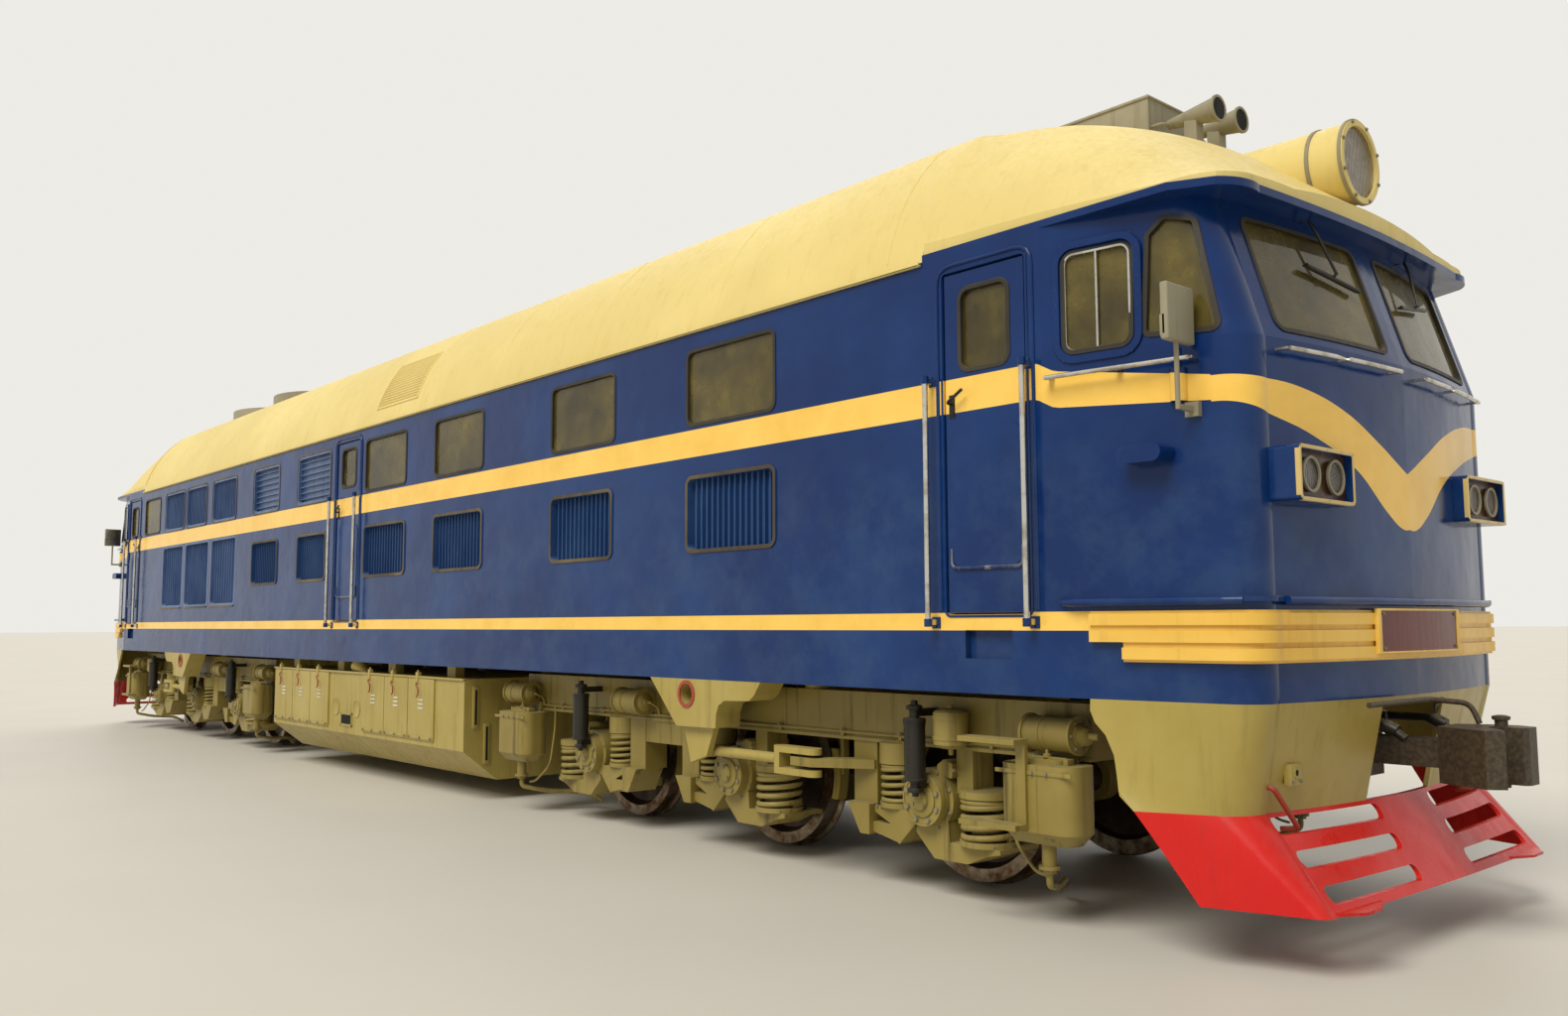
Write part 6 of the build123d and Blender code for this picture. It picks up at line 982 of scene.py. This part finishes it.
SEAMS_X = (-7.65, -5.45, -3.30, -1.45, 0.05, 1.55, 3.05, 4.60, 6.15, 7.80)
laps = bmesh.new()
for x in SEAMS_X:
    for hand in HANDS:
        path = []
        for k in range(14):
            turn = math.radians(2 + k * 6.6)
            toward = Vector((0, -hand * math.cos(turn), -math.sin(turn)))
            spot = roof_skin.ray_cast(Vector((x, hand * 0.55, 3.64)) - toward * 4, toward)[0]
            if spot is not None and abs(spot.y) > 0.02:
                path.append(spot)
        if len(path) > 2:
            pipe(laps, path, 0.0045, bend=0.01, sides=6)
stand("roof_lap_seams", laps, cream, "body")


# Cab roof. A flat service box with a bolted lid, the horns with their air
# pipes, and clamp bands round the headlamp's barrel.
def disc(form, centre, along, radius, thick, sides):
    """A thin round sheet, crowned on both faces; thick is half its depth."""
    turned(form, centre, along, ((0, 0.0001), (thick, radius), (2 * thick, 0.0001)), sides)


HEADLAMP_Z, HORN_Z, BOX_LID_Z = 4.078, 4.588, 4.735
roof_bits, throats, roof_box_bolts = bmesh.new(), bmesh.new(), []
for end in ENDS:
    at, forward = mirror(end, 1), (end, 0, 0)
    plate(roof_bits, at(8.080, -0.290, BOX_LID_Z), at(8.790, 0.290, BOX_LID_Z + 0.012))
    for x in (8.13, 8.28, 8.435, 8.59, 8.74):
        for y in (-0.262, 0.262):
            roof_box_bolts.append((at(x, y, BOX_LID_Z + 0.010), UP))
    for y in (-0.19, 0.19):
        plate(roof_bits, at(8.076, y - 0.05, 4.690), at(8.092, y + 0.05, 4.742))
    for x, radius, depth in ((9.700, 0.232, 0.022), (9.884, 0.238, 0.018)):
        collar(roof_bits, at(x, 0, HEADLAMP_Z), forward, 0.2245, radius, depth, sides=48)
    roof_box_bolts += bolt_circle(at(9.908, 0, HEADLAMP_Z), forward, 0.222, 8, math.pi / 8)
    for y in (-0.130, 0.130):
        pipe(roof_bits, [at(x, y * spread, 4.560)
                         for x, spread in ((8.86, 1), (8.86, 1.9), (8.70, 1.9), (8.60, 1.9))],
             0.010, bend=0.04, sides=8)
        collar(roof_bits, at(9.146, y, HORN_Z), forward, 0.066, 0.081, 0.014, sides=28)
        # A black disc in each horn mouth is painted shade for the dark inside of the horn.
        disc(throats, at(9.1545, y, HORN_Z), forward, 0.067, 0.001, 28)
stand("cab_roof_fittings", roof_bits, grey_fittings, "body")
stand("horn_throats", throats, painted_shade_black, "body")
bolted("cab_roof_bolts", roof_box_bolts, "body", "roof_grey", 0.009, 0.007)

# Headlamps and marker reflectors. A silvered bowl and a bulb behind the flat
# headlamp lens, and a silvered disc behind each marker lens.
silver = bare_metal("tarnished_silvered_reflector", ("#8F8B80", "#5B564A"), (25.0, 5.0), (0.45, 0.72),
                    (0.2, 0.4))
BOWL = ((0.0, 0.0001), (0.002, 0.052), (0.012, 0.080), (0.040, 0.130), (0.080, 0.184), (0.082, 0.186))
BULB = ((0, 0.020), (0.020, 0.020), (0.024, 0.012), (0.050, 0.016), (0.062, 0.012), (0.066, 0.0001))
MARKERS_Y, MARKER_Z = (0.852, 1.098), 2.258
bowls = bmesh.new()
for end in ENDS:
    turned(bowls, (end * 9.786, 0, HEADLAMP_Z), (end, 0, 0), BOWL, sides=48)
    turned(bowls, (end * 9.788, 0, HEADLAMP_Z), (end, 0, 0), BULB, sides=20)
    for hand in HANDS:
        for y in MARKERS_Y:
            disc(bowls, (end * 10.0655, hand * y, MARKER_Z), (end, 0, 0), 0.060, 0.0004, 32)
stand("lamp_reflectors", bowls, silver, "body")

# Marker lamp boxes. A cream rim is screwed on the mouth of each box, and a
# turned ring holds each of the two lenses.
yellow_rim = painted_steel("cream_yellow_enamel", "#D2B876", "#DCC588", "#7D683A", rough=0.35, streaks=0.4)
brown_lining = painted_steel("brown_lacquer", "#4A2F1C", "#5C3E26", "#241709", rough=0.3, streaks=0.4)
MOUTH_X = 10.105
mouth_rims, lens_rings, linings, screws = bmesh.new(), bmesh.new(), bmesh.new(), []
for end, hand in CORNERS:
    at, forward = mirror(end, hand), (end, 0, 0)
    frame_ring(mouth_rims, (0.717, 2.145), (1.233, 2.371), 0.012, 0.018, -0.020, 0.004,
               lambda y, z, out: at(MOUTH_X + out, y, z))
    plate(linings, at(10.063, 0.719, 2.147), at(10.0665, 1.231, 2.369), 0.001)
    for y in MARKERS_Y:
        collar(lens_rings, at(10.079, y, MARKER_Z), forward, 0.074, 0.086, 0.012, sides=36)
    for y in (0.709, 0.975, 1.241):
        for z in (2.137, 2.379):
            screws.append((at(MOUTH_X + 0.003, y, z), forward))
stand("marker_lamp_rims", mouth_rims, yellow_rim, "body")
stand("marker_lamp_linings", linings, brown_lining, "body")
stand("marker_lens_rings", lens_rings, grey_fittings, "body")
grown("marker_rim_screws", dome_heads, screws, "body", "roof_cream", head_radius=0.005, finish=oily_bolt)

# Windscreen wipers. A pressed arm on a short spindle over each screen, with a
# rubber blade in a channel, parked low across the glass.
FRONT_X, FRONT_ARC_R, RAKE_FOOT_Z, RAKE = 10.070, 6.63, 2.918, 0.2958


def on_front(end, hand=1):
    """Places on the front wall, raked from under the screens: across, up, and out from the sheet."""
    def place(y, z, out):
        x = FRONT_X - y * y / (2 * FRONT_ARC_R) - max(0.0, z - RAKE_FOOT_Z) * RAKE
        return (end * (x + out), hand * y, z)
    return place


arms, blades = bmesh.new(), bmesh.new()
for end, hand in CORNERS:
    place = on_front(end, hand)
    turned(arms, place(0.580, 3.640, 0.0), (end, 0, RAKE),
           ((-0.010, 0.018), (0.030, 0.018), (0.036, 0.012), (0.046, 0.012), (0.048, 0.002)), sides=18)
    pipe(arms, (place(0.580, 3.640, 0.040), place(0.560, 3.560, 0.050), place(0.493, 3.340, 0.046)), 0.008,
         bend=0.02, sides=8)
    pipe(arms, (place(0.493, 3.344, 0.040), place(0.493, 3.330, 0.026)), 0.008, sides=8)
    for out, radius, sides in ((0.022, 0.012, 8), (0.008, 0.007, 6)):
        pipe(blades, (place(0.717, 3.362, out), place(0.258, 3.293, out)), radius, sides=sides)
stand("wiper_arms", arms, damper_black, "body")
stand("wiper_blades", blades, damper_black, "body")


# Front plates and irons. A blank enamelled plate over the belt, the plough's
# folded foot and toe, an uncoupling lever at each corner and drilled brackets.
def from_end(surface, end, y, z):
    """The same for a level line along the body, from one end."""
    return surface.ray_cast(Vector((end * 12, y, z)), Vector((-end, 0, 0)))[:2]


shell_skin = {1: skin("cab_1_shell"), -1: skin("cab_2_shell")}
plough_skin, skirt_skin = skin("ploughs"), skin("skirts")
dark_red = painted_steel("dark_red_vitreous_enamel", "#5B130F", "#6B1B14", "#2A0A08", rough=0.25, streaks=0.2,
                         ripple=0.1)
PLATE_HALF, PLATE_FACE, PLATE_BACK = 0.480, 0.044, 0.030
PLATE_EDGE = ((1.416, PLATE_BACK), (1.416, PLATE_FACE), (1.635, PLATE_FACE), (1.635, PLATE_BACK))
BRACKET_Y, HOLE_Z, LEVER_TOP_Y, LEVER_FOOT_Y = 1.040, 0.868, 1.200, 1.030
TOE_Y, TOE_REACH, TOE_Z = (0.80, 0.95, 1.10, 1.22), (0.0, 0.075, 0.075, 0.0), (0.280, 0.294)
blank, edging, irons, brackets, hollows, toes = (bmesh.new() for _ in range(6))
iron_bolts = []
for end in ENDS:
    place, forward = on_front(end), (end, 0, 0)
    across = [PLATE_HALF * (k / 12 - 1) for k in range(25)]
    bridge(blank, [[blank.verts.new(place(y, z, out)) for z, out in PLATE_EDGE] for y in across], capped=True)
    for z in (1.419, 1.632):
        pipe(edging, [place(y, z, PLATE_FACE) for y in across], 0.006, bend=0.005, sides=6)
    for y in (-PLATE_HALF, PLATE_HALF):
        back, face = place(y, 1.414, 0.028), place(y, 1.637, 0.050)
        plate(edging, (back[0], y - 0.018, back[2]), (face[0], y + 0.018, face[2]))
    for hand in HANDS:
        for z in (1.440, 1.611):
            iron_bolts.append((place(hand * (PLATE_HALF - 0.04), z, PLATE_FACE), forward))
        hinge = from_end(skirt_skin, end, hand * BRACKET_Y, 0.860)[0]
        on_bracket = mirror(end, 1, end * hinge.x, hinge.y)
        plate(brackets, on_bracket(-0.010, -0.055, 0.810), on_bracket(0.026, 0.055, 0.910))
        collar(brackets, on_bracket(0.024, 0, HOLE_Z), forward, 0.016, 0.028, 0.006, sides=20)
        # A black disc in each bracket hole is painted shade for the dark hole.
        disc(hollows, on_bracket(0.0265, 0, HOLE_Z), forward, 0.017, 0.001, 20)
        for y in (-0.038, 0.038):
            iron_bolts.append((on_bracket(0.026, y, 0.828), forward))
        top = from_end(skirt_skin, end, hand * LEVER_TOP_Y, 0.800)[0]
        foot = from_end(plough_skin, end, hand * (LEVER_FOOT_Y + 0.16), 0.615)[0]
        pipe(irons, ((top.x - end * 0.010, top.y, 0.812), (top.x + end * 0.030, top.y, 0.806),
                     (foot.x + end * 0.025, hand * LEVER_FOOT_Y, 0.612),
                     (foot.x - end * 0.06, hand * LEVER_FOOT_Y, 0.600)), 0.013, bend=0.02)
        edge = [from_end(plough_skin, end, hand * y, sum(TOE_Z) / 2)[0].x for y in TOE_Y]
        near = [(x - end * 0.02, hand * y) for x, y in zip(edge, TOE_Y)]
        far = [(x + end * reach, hand * y) for x, y, reach in zip(edge, TOE_Y, TOE_REACH)]
        bridge(toes, [[toes.verts.new((x, y, z)) for x, y in near + far[::-1]] for z in TOE_Z], capped=True)
stand("blank_front_plates", blank, dark_red, "body")
stand("front_plate_edging", edging, belt_yellow, "body")
stand("uncoupling_levers", irons, signal_red, "body")
stand("plough_toes", toes, plough_red, "body")
stand("skirt_bracket_holes", hollows, painted_shade_black, "body")
stand("skirt_brackets", brackets, skirt_olive, "body")
bolted("front_plate_bolts", iron_bolts, "body", "skirt_paint", 0.008, 0.007)

# Rain ledges, mirrors and flank lamps. A rolled ledge runs over the belt on
# each flank and across the front. The mirrors stand in cast cases on the arms.
LEDGE_Z, LEDGE_R, LEDGE_PROUD, SLEEVE_X = 1.672, 0.021, 0.006, 9.627
ledges = bmesh.new()
for end in ENDS:
    shell = shell_skin[end]
    runs = [[from_side(shell, hand, end * (8.990 + 0.910 * k / 12), LEDGE_Z) for k in range(13)]
            for hand in HANDS]
    runs.append([from_end(shell, end, 1.200 * (k / 12 - 1), LEDGE_Z) for k in range(25)])
    for run in runs:
        pipe(ledges, [spot + facing * LEDGE_PROUD for spot, facing in run], LEDGE_R, bend=0.01, sides=12)
stand("rain_ledges", ledges, plain_blue, "body")
cases, silvering, sleeves, flank_lenses = (bmesh.new() for _ in range(4))
for end, hand in CORNERS:
    at = mirror(end, hand)
    plate(cases, at(9.690, 1.466, 2.874), at(9.730, 1.700, 3.148), 0.012, steps=4)
    plate(silvering, at(9.686, 1.478, 2.886), at(9.691, 1.688, 3.136), 0.002)
    wall_y = from_side(shell_skin[end], hand, end * SLEEVE_X, 2.70)[0].y
    turned(sleeves, (end * SLEEVE_X, wall_y, 2.615), UP,
           ((0, 0.030), (0.006, 0.042), (0.165, 0.042), (0.171, 0.030)), sides=28)
    turned(sleeves, (end * SLEEVE_X, wall_y, 2.780), UP, ((0, 0.018), (0.100, 0.018), (0.104, 0.010)),
           sides=16)
    plate(flank_lenses, at(9.420, 1.440, 2.356), at(9.550, 1.568, 2.380), 0.010, steps=4)
stand("mirror_cases", cases, grey_fittings, "body")
stand("mirror_glasses", silvering, silver, "body")
stand("mirror_sleeves", sleeves, lined_blue, "body")
stand("flank_lamp_lenses", flank_lenses, lamp_glass, "body")

# Handrail lugs. Pressed feet at both ends of each upright by the doors, each with
# a socket for the tube and two bolts into the wall.
UPRIGHTS_X, RAIL_FEET_Z = (8.152, 8.826, -8.152, -8.826, -0.470, 0.205), (1.575, 2.925)
RAIL_SOCKET = ((0, 0.019), (0.003, 0.023), (0.041, 0.023), (0.044, 0.019))
lugs, lug_bolts = bmesh.new(), []
for x in UPRIGHTS_X:
    for hand in HANDS:
        at = mirror(1, hand, x)
        for z in RAIL_FEET_Z:
            plate(lugs, at(-0.030, 1.546, z - 0.032), at(0.030, 1.558, z + 0.032))
            turned(lugs, at(0, 1.620, z - 0.022), UP, RAIL_SOCKET, sides=16)
            for rise in (-0.022, 0.022):
                lug_bolts.append((at(0, 1.558, z + rise), (0, hand, 0)))
stand("handrail_lugs", lugs, plain_blue, "body")
bolted("handrail_lug_bolts", lug_bolts, "body", "body_blue", 0.006, 0.005, plain_blue)

# Coupler details. A hinged knuckle pin, the lifting rod across the headstock
# and a brake pipe stub with its cock on each side of the coupler.
COCK_Y, KNUCKLE_PIN = 0.30, ((0, 0.030), (0.330, 0.030), (0.335, 0.042), (0.350, 0.042), (0.356, 0.020))
coupler_bits, cock_bits = bmesh.new(), bmesh.new()
for end in ENDS:
    at = mirror(end, 1)
    turned(coupler_bits, at(10.420, 0.105, 0.748), UP, KNUCKLE_PIN, sides=20)
    pipe(coupler_bits, (at(10.16, -0.78, 1.180), at(10.16, -0.10, 1.180), at(10.30, 0.05, 1.160),
                        at(10.34, 0.05, 1.060)), 0.014)
    for hand in HANDS:
        at = mirror(end, hand, y=COCK_Y)
        pipe(cock_bits, (at(9.70, 0, 1.060), at(10.02, 0, 1.060), at(10.12, 0, 0.990)), 0.022, bend=0.06,
             sides=12)
        turned(cock_bits, at(10.00, 0, 1.060), (end, 0, -0.4), ((0, 0.032), (0.05, 0.036), (0.09, 0.032)),
               sides=16)
        pipe(cock_bits, (at(10.03, 0, 1.07), at(10.03, 0, 1.125), at(10.03, 0.10, 1.135)), 0.007, bend=0.02,
             sides=8)
stand("coupler_pins_and_rods", coupler_bits, cast, "body")
stand("brake_pipe_cocks", cock_bits, damper_black, "body")

# Cab lining, desks, seats and the engine inside. Pale enamelled panels, brown
# leathercloth and grey-green engine paint, seen dimly through the glass.
lining = painted_steel("pale_cab_lining", "#B9B08F", "#C4BC9C", "#6E6650", rough=0.6)
dress(lining, "bulkheads", "cab_desks")
seat_cloth = painted_steel("brown_seat_leathercloth", "#5A3A22", "#6A462B", "#2C1B10", rough=0.5)
dress(seat_cloth, "cab_seats")
engine_grey = painted_steel("grey_green_engine_enamel", "#6D7460", "#7B826D", "#2F2C22", rough=0.45)
dress(engine_grey, "engine_block")

# Driver's seats. Two in each cab: a turned pedestal, a steel pan, and foam
# cushions in brown leathercloth with crowned faces and drawn-in sides.
SEAT_X, SEAT_Y, BULGE, CUSHION_CUTS = 9.080, 0.720, 0.34, 10
PEDESTAL = ((0, 0.150), (0.015, 0.150), (0.030, 0.060), (0.300, 0.050), (0.310, 0.070), (0.330, 0.070))


def cushion(form, centre, half):
    """A crowned closed cushion: a fine cube drawn part of the way to a ball."""
    def on_ball(a, b, c):
        return a * math.sqrt(max(0, 1 - b * b / 2 - c * c / 2 + b * b * c * c / 3))
    corners = bmesh.ops.create_cube(form, size=2)["verts"]
    edges = list({e for v in corners for e in v.link_edges})
    bmesh.ops.subdivide_edges(form, edges=edges, cuts=CUSHION_CUTS, use_grid_fill=True)
    for v in form.verts:
        x, y, z = v.co
        ball = (on_ball(x, y, z), on_ball(y, z, x), on_ball(z, x, y))
        v.co = Vector(centre) + Vector([(1 - BULGE) * a * h * 0.93 + BULGE * b * h * 1.25
                                        for a, b, h in zip((x, y, z), ball, half)])


pedestals = bmesh.new()
for end, hand in CORNERS:
    name = f"cab_{1 if end == 1 else 2}_seat_{SIDES[hand]}"
    x, y = end * SEAT_X, hand * SEAT_Y
    turned(pedestals, (x, y, 1.609), UP, PEDESTAL, sides=28)
    plate(pedestals, (x - 0.190, y - 0.190, 1.930), (x + 0.190, y + 0.190, 1.960), 0.008)
    pad, rest = bmesh.new(), bmesh.new()
    cushion(pad, (x, y, 2.020), (0.200, 0.205, 0.062))
    seat = stand(f"{name}_cushion", pad, seat_cloth, "body", sharp=80)
    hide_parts("cab_seats")
    cushion(rest, (x - end * 0.185, y, 2.330), (0.050, 0.200, 0.210))
    stand(f"{name}_back", rest, seat_cloth, "body", sharp=80)
    for beside in (-0.12, 0.12):
        pipe(pedestals, ((x - end * 0.10, y + beside, 1.945), (x - end * 0.225, y + beside, 1.96),
                         (x - end * 0.235, y + beside, 2.40)), 0.012)
stand("seat_pedestals", pedestals, damper_black, "body")

# Driver's desks. An instrument box with round gauges, a controller wheel and two
# brake handles stand on the desk in front of each seat.
DESK_TOP_Z, WHEEL_X, HANDLE_X = 2.648, 9.440, 9.420
consoles, dials, handles = (bmesh.new() for _ in range(3))
for end, hand in CORNERS:
    at = mirror(end, 1, y=hand * SEAT_Y, z=DESK_TOP_Z)
    plate(consoles, at(9.600, -0.33, -0.004), at(9.730, 0.33, 0.150), 0.012)
    for k in range(5):
        spot = at(9.600, -0.26 + 0.13 * k, 0.085)
        collar(dials, spot, (-end, 0, 0), 0.040, 0.050, 0.012, sides=28)
        turned(dials, spot, (-end, 0, 0), ((-0.002, 0.041), (0.004, 0.041), (0.005, 0.004), (0.009, 0.004)),
               sides=28)
    collar(handles, at(WHEEL_X, 0.05, 0.060), UP, 0.080, 0.100, 0.018)
    turned(handles, at(WHEEL_X, 0.05, -0.003), UP, ((0, 0.045), (0.04, 0.040), (0.06, 0.018), (0.075, 0.018)))
    for k in range(3):
        a = k * 2 * math.pi / 3
        rim = at(WHEEL_X + end * 0.088 * math.cos(a), 0.05 + 0.088 * math.sin(a), 0.068)
        pipe(handles, (at(WHEEL_X, 0.05, 0.068), rim), 0.007, sides=8)
    for y in (-0.22, -0.11):
        turned(handles, at(HANDLE_X, y, -0.003), UP,
               ((0, 0.030), (0.035, 0.028), (0.040, 0.012), (0.055, 0.012)), sides=20)
        pipe(handles, (at(HANDLE_X, y, 0.047), at(HANDLE_X - 0.10, y, 0.072)), 0.009, sides=8)
stand("desk_consoles", consoles, grey_fittings, "body")
stand("desk_gauges", dials, damper_black, "body")
stand("desk_handles", handles, damper_black, "body")
